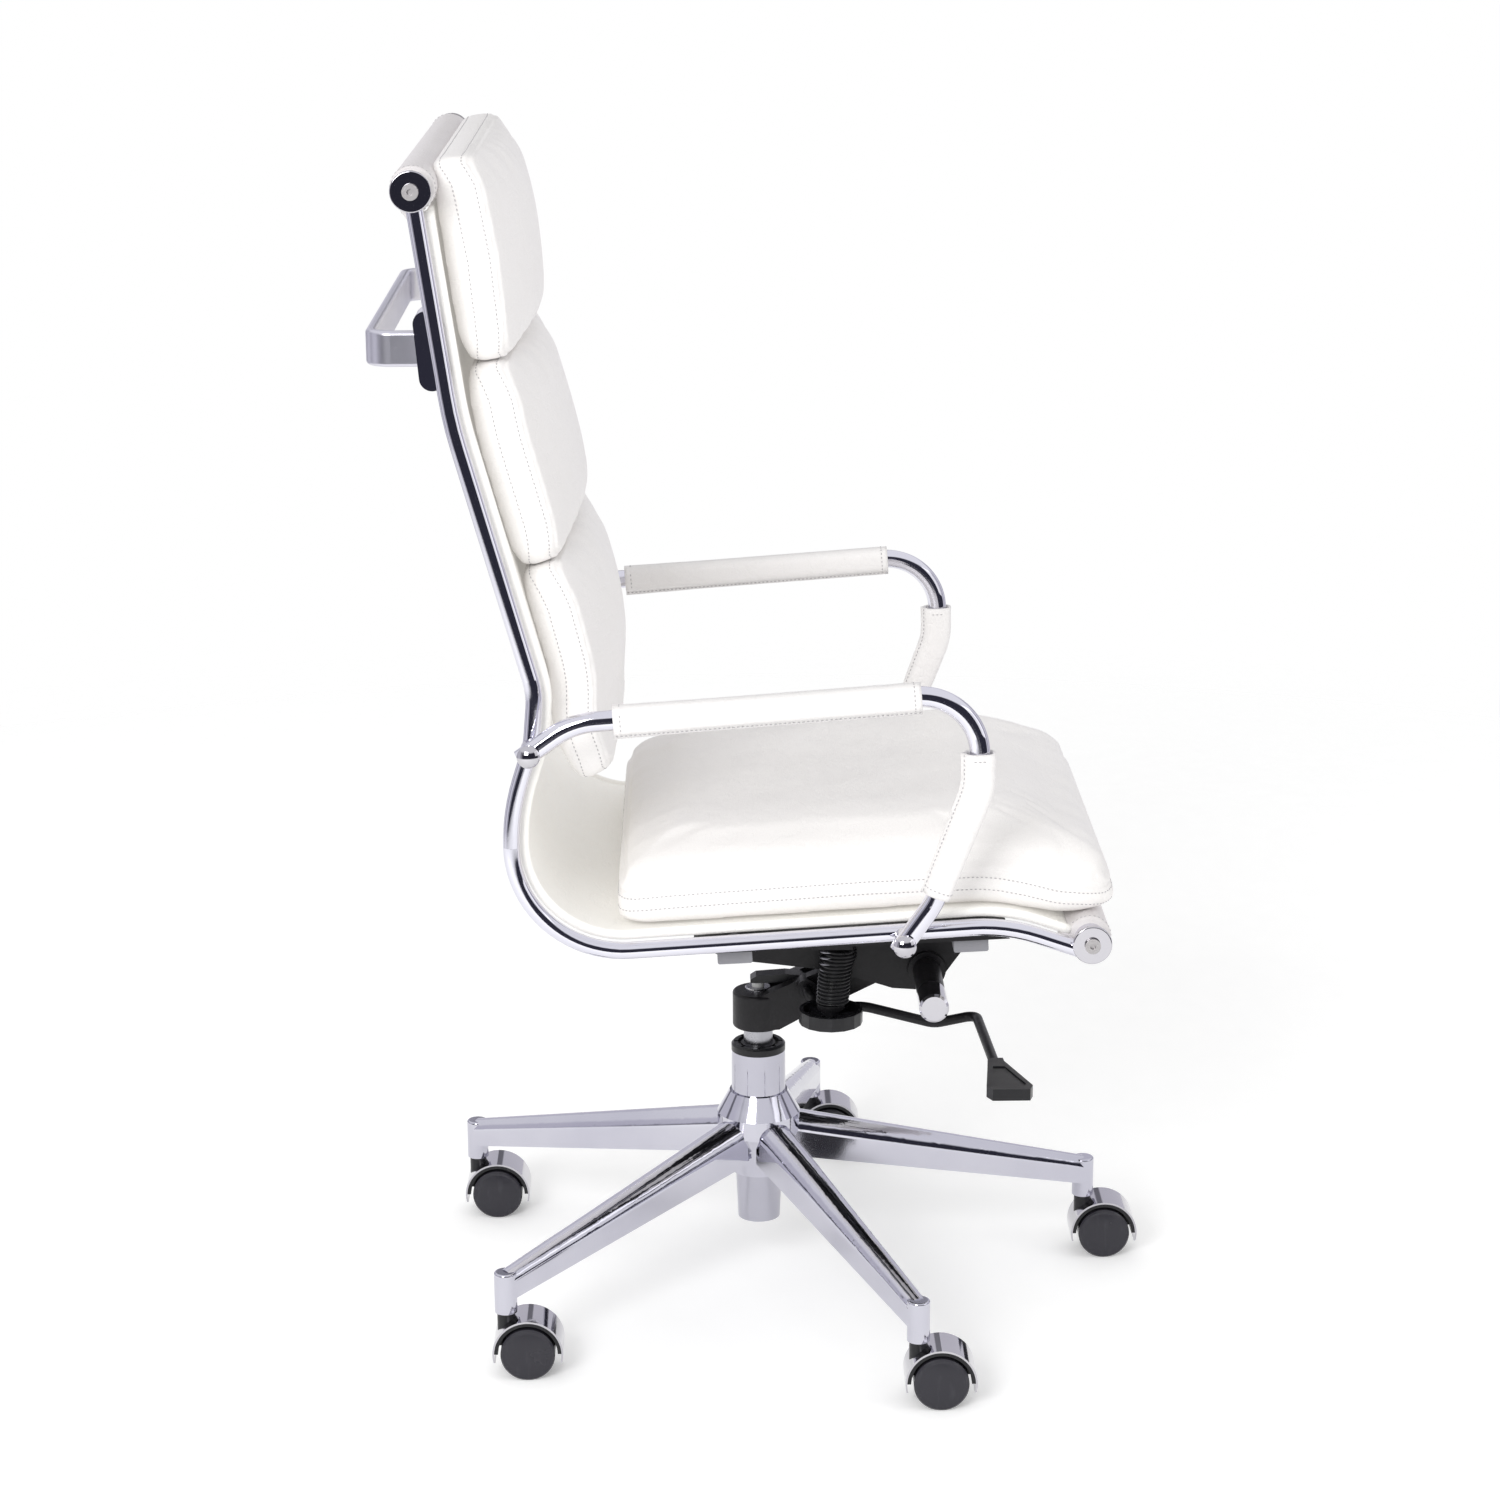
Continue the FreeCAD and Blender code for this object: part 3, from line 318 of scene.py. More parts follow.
@dataclass(frozen=True)
class Plastic:
    """Moulded plastic with a fine spark-eroded grain and handling marks."""

    slot: str
    color: Color
    pale: Color
    roughness: float
    grain: float
    grain_scale: float = 1100.0
    shine: float = 0.5

    def build(self) -> bpy.types.Material:
        """Makes the material.

        Returns:
            The material, named as its slot.
        """
        board = Board(self.slot)
        cell = node(board.tree, "TexVoronoi", {"Vector": board.place, "Scale": self.grain_scale})
        cloud = board.noise(30.0, 4.0)
        scuff = board.noise(160.0, 3.0, board.stretched((1.0, 1.0, 0.25)))
        share = board.remap(scuff, 0.55, 0.8, 0.0, 0.6)
        normal = board.bump(board.noise(45.0, 1.0), 0.0006, 0.1)
        normal = board.bump(cell.outputs["Distance"], 0.0002, self.grain, normal)
        board.set(Base_Color=board.blend(share, self.color, self.pale), Normal=normal, IOR=1.5,
                  Specular_IOR_Level=self.shine,
                  Roughness=board.remap(cloud, 0.35, 0.7, self.roughness, self.roughness + 0.09))
        return board.material


@dataclass(frozen=True)
class Leather:
    """Corrected-grain leather: pebbled cells, stretched wrinkles, a soft change of tone and a painted glow of
    its own tone that stands in for bounced light.
    """

    slot: str
    color: Color
    shade: Color
    roughness: float
    grain: float = 0.30
    wrinkle: float = 0.25
    # Painted light: strength of a glow in the leather's own tone that stands in for bounced light.
    painted_bounce_glow: float = 0.0

    HOLLOW: ClassVar[float] = 0.72

    def build(self) -> bpy.types.Material:
        """Makes the material.

        Returns:
            The material, named as its slot.
        """
        board = Board(self.slot)
        warp = node(board.tree, "TexNoise", {"Vector": board.place, "Scale": 260.0, "Detail": 1.0})
        shifted = node(board.tree, "VectorMath", {0: warp.outputs["Color"], 1: (0.0009, 0.0009, 0.0009)},
                       operation="MULTIPLY").outputs[0]
        place = node(board.tree, "VectorMath", {0: board.place, 1: shifted}, operation="ADD").outputs[0]
        cells = node(board.tree, "TexVoronoi", {"Vector": place, "Scale": 820.0}, feature="DISTANCE_TO_EDGE")
        pebble = board.remap(cells.outputs["Distance"], 0.0, 0.22)
        pores = board.remap(board.noise(1900.0, 2.0), 0.3, 0.45)
        folds = board.noise(34.0, 5.0, board.stretched((0.55, 1.0, 1.0)), 0.6)
        folds = board.math("ABSOLUTE", board.math("SUBTRACT", folds, 0.5))
        folds = board.remap(folds, 0.0, 0.05)
        cloud = board.noise(7.0, 4.0)
        tone = board.blend(board.remap(cloud, 0.3, 0.75, 0.0, 0.85), self.color, self.shade)
        hollow = tuple(part * self.HOLLOW for part in self.shade)
        tone = board.blend(board.remap(pebble, 0.0, 1.0, 0.16, 0.0), tone, hollow)
        normal = board.bump(folds, 0.0008, self.wrinkle)
        normal = board.bump(pebble, 0.0002, self.grain, normal)
        normal = board.bump(pores, 0.0001, self.grain * 0.5, normal)
        patches = board.noise(70.0, 3.0)
        # Painted light: the emission, in the leather's own tone, stands in for light bounced into the leather's
        # shaded hollows.
        board.set(Base_Color=tone, Normal=normal, IOR=1.48, Emission_Color=tone, Emission_Strength=self.painted_bounce_glow,
                  Roughness=board.remap(patches, 0.3, 0.7, self.roughness - 0.05, self.roughness + 0.07))
        return board.material


@dataclass(frozen=True)
class Rubber:
    """Moulded rubber with a slight shine and bloom in soft random patches."""

    slot: str
    color: Color
    bloom: Color
    roughness: float

    def build(self) -> bpy.types.Material:
        """Makes the material.

        Returns:
            The material, named as its slot.
        """
        board = Board(self.slot)
        cloud = board.noise(60.0, 4.0)
        normal = board.bump(board.noise(700.0, 3.0), 0.0003, 0.2)
        board.set(Base_Color=board.blend(board.remap(cloud, 0.4, 0.75, 0.0, 0.7), self.color, self.bloom),
                  Normal=normal, Roughness=board.remap(cloud, 0.3, 0.7, self.roughness, self.roughness + 0.12))
        return board.material


@dataclass(frozen=True)
class Thread:
    """Twisted sewing thread."""

    slot: str
    color: Color
    dark: Color

    def build(self) -> bpy.types.Material:
        """Makes the material.

        Returns:
            The material, named as its slot.
        """
        board = Board(self.slot)
        twist = node(board.tree, "TexWave", {"Vector": board.place, "Scale": 900.0, "Distortion": 2.0},
                     bands_direction="DIAGONAL")
        fuzz = board.noise(1500.0, 2.0)
        normal = board.bump(twist.outputs["Fac"], 0.0002, 0.5)
        board.set(Base_Color=board.blend(board.remap(fuzz, 0.3, 0.7), self.color, self.dark),
                  Normal=normal, Roughness=0.62, Sheen_Weight=0.2)
        return board.material


FINISHES = [
    Metal("base_chrome", (0.59, 0.585, 0.65), (0.52, 0.515, 0.59), 0.07, 0.04, 0.05, 0.04),
    Metal("tube_chrome", (0.50, 0.495, 0.56), (0.45, 0.445, 0.51), 0.05, 0.03, 0.04, 0.02, (1, 1, 0.1)),
    Metal("bright_steel", (0.44, 0.44, 0.47), (0.36, 0.36, 0.39), 0.24, 0.08, 0.2, 0.02, (1, 1, 0.05)),
    Metal("frame_chrome", (0.74, 0.735, 0.80), (0.68, 0.675, 0.75), 0.05, 0.03, 0.04, 0.03, (0.3, 1, 1)),
    Metal("cap_chrome", (0.56, 0.55, 0.58), (0.50, 0.49, 0.53), 0.06, 0.03, 0.04, 0.02),
    Metal("screw_steel", (0.62, 0.60, 0.60), (0.50, 0.48, 0.49), 0.36, 0.1, 0.3, 0.02),
    Metal("handle_chrome", (0.66, 0.655, 0.72), (0.56, 0.555, 0.62), 0.30, 0.08, 0.04, 0.03),
    Metal("spring_steel", (0.30, 0.30, 0.33), (0.22, 0.22, 0.24), 0.28, 0.1, 0.3, 0.05),
    Paint("black_paint", (0.008, 0.0075, 0.009), (0.018, 0.017, 0.020), 0.36, 0.35, 0.0, 0.30),
    Paint("grey_paint", (0.22, 0.22, 0.24), (0.28, 0.28, 0.30), 0.42, 0.3),
    Plastic("black_plastic", (0.009, 0.009, 0.011), (0.022, 0.022, 0.026), 0.28, 0.25, 1100.0, 0.35),
    Plastic("wheel_plastic", (0.022, 0.021, 0.028), (0.040, 0.039, 0.048), 0.20, 0.10, 1500.0, 0.40),
    Plastic("pin_plastic", (0.50, 0.50, 0.50), (0.60, 0.60, 0.59), 0.38, 0.2),
    Rubber(Look.BELLOWS.value, (0.008, 0.008, 0.009), (0.02, 0.02, 0.023), 0.24),
    # The last number of the cushion and sling leathers is their painted glow: emission that stands in for light
    # bounced into shaded hollows.
    Leather(Look.CUSHION.value, (0.86, 0.84, 0.83), (0.83, 0.81, 0.795), 0.42, 0.3, 0.25, 0.02),
    # Painted shade: the sling's creamier colours and its strong glow stand in for the cream bounce light in the
    # shaded bend behind the seat.
    Leather(Look.SLING.value, (0.86, 0.845, 0.812), (0.825, 0.81, 0.77), 0.45, 0.3, 0.35, 0.18),
    Leather(Look.SLEEVE.value, (0.82, 0.80, 0.795), (0.78, 0.765, 0.755), 0.42, 0.3, 0.35),
    # Painted shade: a darker, pinker copy of the leather that stands in for the shade on the rolls.
    Leather("roll_leather_painted_shade", (0.76, 0.73, 0.735), (0.71, 0.68, 0.68), 0.42, 0.3, 0.3),
    Thread(Look.THREAD.value, (0.52, 0.51, 0.52), (0.40, 0.39, 0.40)),
]


class Palette:
    """Every finish by its slot."""

    def __init__(self) -> None:
        """Builds all the materials once."""
        self.materials = {finish.slot: finish.build() for finish in FINISHES}

    def paint(self, piece: bpy.types.Object, slot: str, record_slot: bool = True) -> None:
        """Gives a piece its only material.

        Args:
            piece: the piece.
            slot: name of the finish.
            record_slot: not used.
        """
        piece.data.materials.clear()
        piece.data.materials.append(self.materials[slot])


# ---- curves ----

@dataclass(frozen=True)
class Station:
    """A place on a side path with its unit tangent, in the (y, z) plane."""

    y: float
    z: float
    ty: float
    tz: float

    def offset(self, distance: float) -> Point:
        """Point at a distance towards the sitter."""
        return (self.y + self.tz * distance, self.z - self.ty * distance)

    def across(self, x: float, distance: float = 0.0) -> Vector:
        """Point in space at a distance towards the sitter."""
        y, z = self.offset(distance)
        return Vector((x, y, z))

    def basis(self, x: float, distance: float = 0.0) -> Matrix:
        """Matrix that puts X across the chair, Y towards the sitter and Z along the path."""
        turn = Matrix(((1, 0, 0), (0, self.tz, self.ty), (0, -self.ty, self.tz)))
        return Matrix.Translation(self.across(x, distance)) @ turn.to_4x4()


class SidePath:
    """Straight runs joined by arcs, seen from the side, and sampled evenly."""

    STEP = 0.002

    def __init__(self, corners: Sequence[Corner]) -> None:
        """Rounds the corners.

        Args:
            corners: each corner as (y, z, radius), the first and last being the ends.
        """
        spots = [np.array(corner[:2]) for corner in corners]
        points = [spots[0]]
        for index in range(1, len(corners) - 1):
            points += self._arc(spots[index - 1], spots[index], spots[index + 1], corners[index][2])
        points.append(spots[-1])
        raw = np.array(points)
        reach = np.concatenate([[0.0], np.cumsum(np.linalg.norm(np.diff(raw, axis=0), axis=1))])
        self.length = float(reach[-1])
        self.count = max(8, int(self.length / self.STEP))
        even = np.linspace(0.0, self.length, self.count + 1)
        self.points = np.stack([np.interp(even, reach, raw[:, 0]), np.interp(even, reach, raw[:, 1])], axis=1)
        slopes = np.gradient(self.points, axis=0)
        self.tangents = slopes / np.linalg.norm(slopes, axis=1)[:, None]

    @staticmethod
    def _arc(before: np.ndarray, corner: np.ndarray, after: np.ndarray, radius: float) -> list[np.ndarray]:
        """Points of the arc that rounds one corner.

        Args:
            before: corner before it.
            corner: the corner.
            after: corner after it.
            radius: radius of the arc.

        Returns:
            The arc's points, from the side of the corner before.
        """
        back = (before - corner) / np.linalg.norm(before - corner)
        ahead = (after - corner) / np.linalg.norm(after - corner)
        turn = (math.pi - math.acos(float(np.clip(back @ ahead, -1, 1)))) / 2
        middle = (back + ahead) / np.linalg.norm(back + ahead)
        centre = corner + middle * radius / math.cos(turn)
        start = corner + back * radius * math.tan(turn) - centre
        end = corner + ahead * radius * math.tan(turn) - centre
        first = math.atan2(start[1], start[0])
        sweep = (math.atan2(end[1], end[0]) - first + math.pi) % (2 * math.pi) - math.pi
        steps = max(4, int(abs(sweep) * radius / SidePath.STEP))
        angles = [first + sweep * k / steps for k in range(steps + 1)]
        return [centre + radius * np.array([math.cos(angle), math.sin(angle)]) for angle in angles]

    def at(self, distance: float) -> Station:
        """Station at a distance along the path.

        Args:
            distance: distance from the start, kept inside the path.

        Returns:
            The station.
        """
        place = min(max(distance / self.length, 0.0), 1.0) * self.count
        low = min(int(place), self.count - 1)
        share = place - low
        spot = self.points[low] * (1 - share) + self.points[low + 1] * share
        slope = self.tangents[low] * (1 - share) + self.tangents[low + 1] * share
        slope = slope / np.linalg.norm(slope)
        return Station(float(spot[0]), float(spot[1]), float(slope[0]), float(slope[1]))

    def stations(self, spacing: float, start: float = 0.0, end: Optional[float] = None) -> list[Station]:
        """Evenly spaced stations between two distances.

        Args:
            spacing: distance aimed at from station to station.
            start: distance of the first.
            end: distance of the last, or the path's end.

        Returns:
            The stations.
        """
        stop = self.length if end is None else end
        count = max(2, round((stop - start) / spacing))
        return [self.at(start + (stop - start) * k / count) for k in range(count + 1)]


def mixed(table: Sequence[Point], place: float) -> float:
    """Value of a table of (place, value) rows at a place."""
    return float(np.interp(place, [row[0] for row in table], [row[1] for row in table]))


# ---- mesh helpers ----

def finished(name: str, bm: bmesh.types.BMesh, smooth: bool = True) -> bpy.types.Object:
    """Turns a bmesh into a linked object with outward normals.

    Args:
        name: name of the piece.
        bm: its mesh, which is freed.
        smooth: whether its faces shade smoothly.

    Returns:
        The object, at the origin.
    """
    bmesh.ops.recalc_face_normals(bm, faces=bm.faces)
    mesh = bpy.data.meshes.new(name)
    bm.to_mesh(mesh)
    bm.free()
    if smooth:
        mesh.shade_smooth()
    piece = bpy.data.objects.new(name, mesh)
    bpy.context.scene.collection.objects.link(piece)
    return piece


def sweep(bm: bmesh.types.BMesh, section: Sequence[Point], places: Sequence[Matrix],
          closed_ends: bool = True) -> None:
    """Extrudes a section from place to place.

    Args:
        bm: mesh it is added to.
        section: points round the section, read as (X, Y) of each place.
        places: matrices of the stations.
        closed_ends: whether the two ends are filled.
    """
    verts = [bm.verts.new(places[0] @ Vector((a, b, 0.0))) for a, b in section]
    edges = [bm.edges.new(pair) for pair in zip(verts, verts[1:] + verts[:1])]
    first = list(edges)
    for before, after in zip(places, places[1:]):
        grown = bmesh.ops.extrude_edge_only(bm, edges=edges)["geom"]
        verts = [item for item in grown if isinstance(item, bmesh.types.BMVert)]
        edges = [item for item in grown if isinstance(item, bmesh.types.BMEdge)]
        bmesh.ops.transform(bm, matrix=after @ before.inverted(), verts=verts)
    if closed_ends:
        for loop in (first, edges):
            bmesh.ops.contextual_create(bm, geom=loop)


def circle(radius: float, count: int) -> list[Point]:
    """Points of a circle."""
    angles = [2 * math.pi * k / count for k in range(count)]
    return [(radius * math.cos(angle), radius * math.sin(angle)) for angle in angles]


def surface_of(piece: bpy.types.Object) -> BVHTree:
    """Search tree of a piece's shown surface."""
    return BVHTree.FromObject(piece, bpy.context.evaluated_depsgraph_get())


class Sewing:
    """Rows of raised stitches laid on leather."""

    LENGTH = 0.0027
    WIDTH = 0.0011
    RISE = 0.0008
    SUNK = 0.2
    PITCH = 0.0040
    LEAST = 0.0004

    def __init__(self, name: str, palette: Palette) -> None:
        """Starts an empty set of rows.

        Args:
            name: name of the piece.
            palette: the built finishes.
        """
        self.name = name
        self.palette = palette
        self.rows = bmesh.new()
        stitch = bmesh.new()
        bmesh.ops.create_icosphere(stitch, subdivisions=1, radius=0.5)
        bmesh.ops.scale(stitch, vec=(self.LENGTH, self.WIDTH, self.RISE), verts=stitch.verts)
        self.template = bpy.data.meshes.new(name + "_stitch")
        stitch.to_mesh(self.template)
        stitch.free()

    def row(self, line: Sequence[Vector], surface: BVHTree, closed: bool = False, pitch: float = PITCH) -> None:
        """Sews one row along a line projected to a surface.

        Args:
            line: points near the surface.
            surface: search tree of the leather.
            closed: whether the line returns to its start.
            pitch: distance from stitch to stitch.
        """
        spots, ups = [], []
        for point in [*line, line[0]] if closed else line:
            spot, up, _face, _gap = surface.find_nearest(point)
            if not spots or (spot - spots[-1]).length > self.LEAST:
                spots.append(spot)
                ups.append(up)
        reach = [0.0]
        for first, second in zip(spots, spots[1:]):
            reach.append(reach[-1] + (second - first).length)
        count = int(reach[-1] / pitch)
        index = 0
        for k in range(count):
            goal = (k + 0.5) * reach[-1] / count
            while reach[index + 1] < goal:
                index += 1
            share = (goal - reach[index]) / (reach[index + 1] - reach[index])
            along = (spots[index + 1] - spots[index]).normalized()
            up = (ups[index] * (1 - share) + ups[index + 1] * share).normalized()
            side = up.cross(along).normalized()
            along = side.cross(up)
            spot = spots[index].lerp(spots[index + 1], share) + up * (self.RISE * self.SUNK)
            place = Matrix((along, side, up)).transposed().to_4x4()
            place.translation = spot
            self.template.transform(place)
            self.rows.from_mesh(self.template)
            self.template.transform(place.inverted())

    def finish(self, body: str, slot: str) -> bpy.types.Object:
        """Makes the rows one piece that rides a body.

        Args:
            body: body that the rows ride.
            slot: not used.

        Returns:
            The piece.
        """
        piece = finished(self.name, self.rows)
        bpy.data.meshes.remove(self.template)
        self.palette.paint(piece, Look.THREAD.value, False)
        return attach(piece, body)


# ---- cushions ----

@dataclass(frozen=True)
class CushionPlan:
    """Shape of one cushion: a boxed block on a side path with a crowned front panel."""

    name: str
    nodes: tuple[str, ...]
    half_width: float
    spine: tuple[Corner, ...]
    boxing: tuple[Point, ...]
    crown: tuple[Point, ...]
    crown_powers: tuple[float, float, float, float]
    corner_start: float
    corner_end: float
    round_sides: float
    round_start: float
    round_end: float
    rows: tuple[float, ...]
    cap: float
    fill: float = 0.8
    bulge: float = 0.003
    dip: float = 0.002


class Cushion:
    """A sewn leather cushion, puffed by a cloth simulation."""

    SPACING = 0.008
    VOXEL = 0.0045
    FRAMES = 20
    HOLD_REACH = 0.012
    REAR_GRID = 12
    SEAM_PINCH = (0.0, 0.0024, 0.0050)
    ROW_DEEP = 0.0007
    ROW_WIDE = 0.0035
    STIFFNESS = 12.0
    PRESSURE = 4.0
    LUMP = 0.0022
    FINE_LUMP = 0.0008
    CREASE = 0.0013
    FRONT = 0.999
    SEAM = 0.998
    RIM_POINTS = 720

    def __init__(self, plan: CushionPlan) -> None:
        """Prepares the line that the cushion follows."""
        self.plan = plan
        self.path = SidePath(plan.spine)

    def point(self, u: float, v: float, w: float) -> Vector:
        """Place of a point of the block, each coordinate running from -1 to 1.

        Args:
            u: how far across the chair.
            v: how far along the line.
            w: how far out, 1 being the front panel.

        Returns:
            The point in space.
        """
        plan = self.plan
        half_length = self.path.length / 2
        x, s = u * plan.half_width, v * half_length
        radius = plan.corner_start if v < 0 else plan.corner_end
        a = (abs(x) - (plan.half_width - radius)) / radius
        b = (abs(s) - (half_length - radius)) / radius
        if a > 0 and b > 0:
            a, b = a * math.sqrt(1 - b * b / 2), b * math.sqrt(1 - a * a / 2)
            x = math.copysign(plan.half_width - radius + radius * a, x)
            s = math.copysign(half_length - radius + radius * b, s)
        share = (v + 1) / 2
        depth = self._depth(u, v)
        n = depth * (w + 1) / 2
        swell = plan.bulge * math.sin(math.pi * min(max(n / depth, 0), 1))
        x *= 1 - (self._inset(n, plan.round_sides) - swell) / plan.half_width
        end = plan.round_start if v < 0 else plan.round_end
        s *= 1 - (self._inset(n, end) - swell) / half_length
        if w > self.FRONT:
            n += self._crown(u, v, share)
        return self.path.at(half_length + s).across(x, n)

    def _depth(self, u: float, v: float) -> float:
        """Depth of the boxing, a little less at the corners."""
        return mixed(self.plan.boxing, (v + 1) / 2) - self.plan.dip * (abs(u) * abs(v)) ** 8

    @staticmethod
    def _inset(n: float, radius: float) -> float:
        """How far the side draws in near the rear face."""
        low = max(radius - n, 0.0)
        return radius - math.sqrt(max(radius * radius - low * low, 0.0))

    def _crown(self, u: float, v: float, share: float) -> float:
        """Height of the front panel over its seam, with soft lumps and creases that leave the seam.

        Args:
            u: how far across the chair.
            v: how far along the line.
            share: share of the line's length.

        Returns:
            The height.
        """
        power_u, root_u, power_v, root_v = self.plan.crown_powers
        arch = max(1 - abs(u) ** power_u, 0.0) ** root_u * max(1 - abs(v) ** power_v, 0.0) ** root_v
        edge = min((1 - abs(u)) * self.plan.half_width, (1 - abs(v)) * self.path.length / 2)
        seed = Vector((u * 2.3, v * 2.1, self.plan.half_width * 40))
        lumps = noise.noise(seed) * self.LUMP + noise.noise(seed * 2.7) * self.FINE_LUMP
        along = v * self.path.length / 2 if (1 - abs(u)) < (1 - abs(v)) else u * self.plan.half_width
        wave = math.sin(along * 150 + 5 * noise.noise(Vector((along * 9, u, v)))) * self.CREASE
        crease = wave * math.exp(-edge / 0.02) * min(edge / 0.006, 1.0)
        return arch * mixed(self.plan.crown, share) + (lumps + crease) * min(arch * 2.0, 1.0)

    def block(self) -> bpy.types.Object:
        """Builds the block before it is puffed.

        Returns:
            The block.
        """
        plan = self.plan
        bm = bmesh.new()
        bmesh.ops.create_cube(bm, size=2.0)
        spans = (plan.half_width * 2, self.path.length, 0.04)
        for axis, span in enumerate(spans):
            edges = [edge for edge in bm.edges
                     if abs(edge.verts[0].co[axis] - edge.verts[1].co[axis]) > 1.5]
            cuts = max(5, round(span / self.SPACING))
            bmesh.ops.subdivide_edges(bm, edges=edges, cuts=cuts, use_grid_fill=True)
        for vert in bm.verts:
            vert.co = self.point(*vert.co)
        return finished(plan.name, bm)

    def rim(self, back: float) -> list[Vector]:
        """Points round the cushion beside the front seam.

        Args:
            back: distance behind the seam.

        Returns:
            The points.
        """
        line = []
        for k in range(self.RIM_POINTS):
            side, part = divmod(k * 4 / self.RIM_POINTS, 1.0)
            t = 2 * part - 1
            u, v = [(t, -1.0), (1.0, t), (-t, 1.0), (-1.0, -t)][int(side)]
            line.append(self.point(u, v, min(1 - 2 * back / self._depth(u, v), self.SEAM)))
        return line

    def puff(self, piece: bpy.types.Object) -> None:
        """Fills the cushion with air in a cloth simulation and keeps the result.

        Args:
            piece: the block, whose mesh is changed.
        """
        remesh = piece.modifiers.new("remesh", "REMESH")
        remesh.mode = "VOXEL"
        remesh.voxel_size = self.VOXEL
        self._apply(piece)
        seam = self._tree(self.rim(0.0))
        steps = [step / self.REAR_GRID for step in range(-self.REAR_GRID, self.REAR_GRID + 1)]
        rear = self._tree([self.point(u, v, -1.0) for u in steps for v in steps])
        hold = piece.vertex_groups.new(name="hold")
        for vert in piece.data.vertices:
            near = seam.find(vert.co)[2]
            held = rear.find(vert.co)[2] < self.HOLD_REACH
            weight = 1.0 if held else max(0.0, 1.0 - near / self.HOLD_REACH)
            hold.add([vert.index], weight, "REPLACE")
        rest = [vert.co.copy() for vert in piece.data.vertices]
        cloth = piece.modifiers.new("cloth", "CLOTH")
        settings = cloth.settings
        settings.quality = 4
        settings.mass = 0.25
        settings.tension_stiffness = self.STIFFNESS
        settings.compression_stiffness = self.STIFFNESS
        settings.bending_stiffness = 0.6
        settings.use_pressure = True
        settings.uniform_pressure_force = self.PRESSURE
        settings.vertex_group_mass = "hold"
        settings.effector_weights.gravity = 0.0
        cloth.point_cache.frame_end = self.FRAMES
        scene = bpy.context.scene
        for step in range(1, self.FRAMES + 1):
            scene.frame_set(step)
        self._apply(piece)
        scene.frame_set(1)
        for vert, start in zip(piece.data.vertices, rest):
            move = vert.co - start
            if move.length > self.plan.cap:
                vert.co = start + move.normalized() * self.plan.cap
        piece.vertex_groups.clear()

    @staticmethod
    def _tree(points: Sequence[Vector]) -> KDTree:
        """Search tree of points.

        Args:
            points: the points.

        Returns:
            The tree, whose entries are numbered as the points are.
        """
        tree = KDTree(len(points))
        for index, point in enumerate(points):
            tree.insert(point, index)
        tree.balance()
        return tree

    @staticmethod
    def _apply(piece: bpy.types.Object) -> None:
        """Turns a piece's modifiers into its mesh.

        Args:
            piece: the piece.
        """
        graph = bpy.context.evaluated_depsgraph_get()
        graph.update()
        mesh = bpy.data.meshes.new_from_object(piece.evaluated_get(graph))
        old = piece.data
        piece.modifiers.clear()
        piece.data = mesh
        bpy.data.meshes.remove(old)
        mesh.name = piece.name

    def pinch(self, piece: bpy.types.Object) -> None:
        """Draws the leather in along the seam and along each stitch row.

        Args:
            piece: the cushion, whose mesh is changed.
        """
        lines = [self.SEAM_PINCH] + [(back, self.ROW_DEEP, self.ROW_WIDE) for back in self.plan.rows]
        for back, deep, wide in lines:
            tree = self._tree(self.rim(back))
            normals = [vert.normal.copy() for vert in piece.data.vertices]
            for vert, normal in zip(piece.data.vertices, normals):
                near = tree.find(vert.co)[2]
                if near < wide:
                    vert.co -= normal * deep * (1 - near / wide) ** 1.5

    def build(self, palette: Palette) -> bpy.types.Object:
        """Makes the finished cushion and its stitches.

        Args:
            palette: the built finishes.

        Returns:
            The cushion.
        """
        piece = self.block()
        self.puff(piece)
        finer = piece.modifiers.new("finer", "SUBSURF")
        finer.levels = 1
        finer.render_levels = 1
        self._apply(piece)
        self.pinch(piece)
        piece.data.shade_smooth()
        palette.paint(piece, Look.CUSHION.value)
        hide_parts(*self.plan.nodes)
        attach(piece, "seat")
        sewing = Sewing(self.plan.name + "_stitches", palette)
        surface = surface_of(piece)
        for back in self.plan.rows:
            sewing.row(self.rim(back), surface, closed=True)
        sewing.finish("seat", Look.CUSHION.value)
        return piece


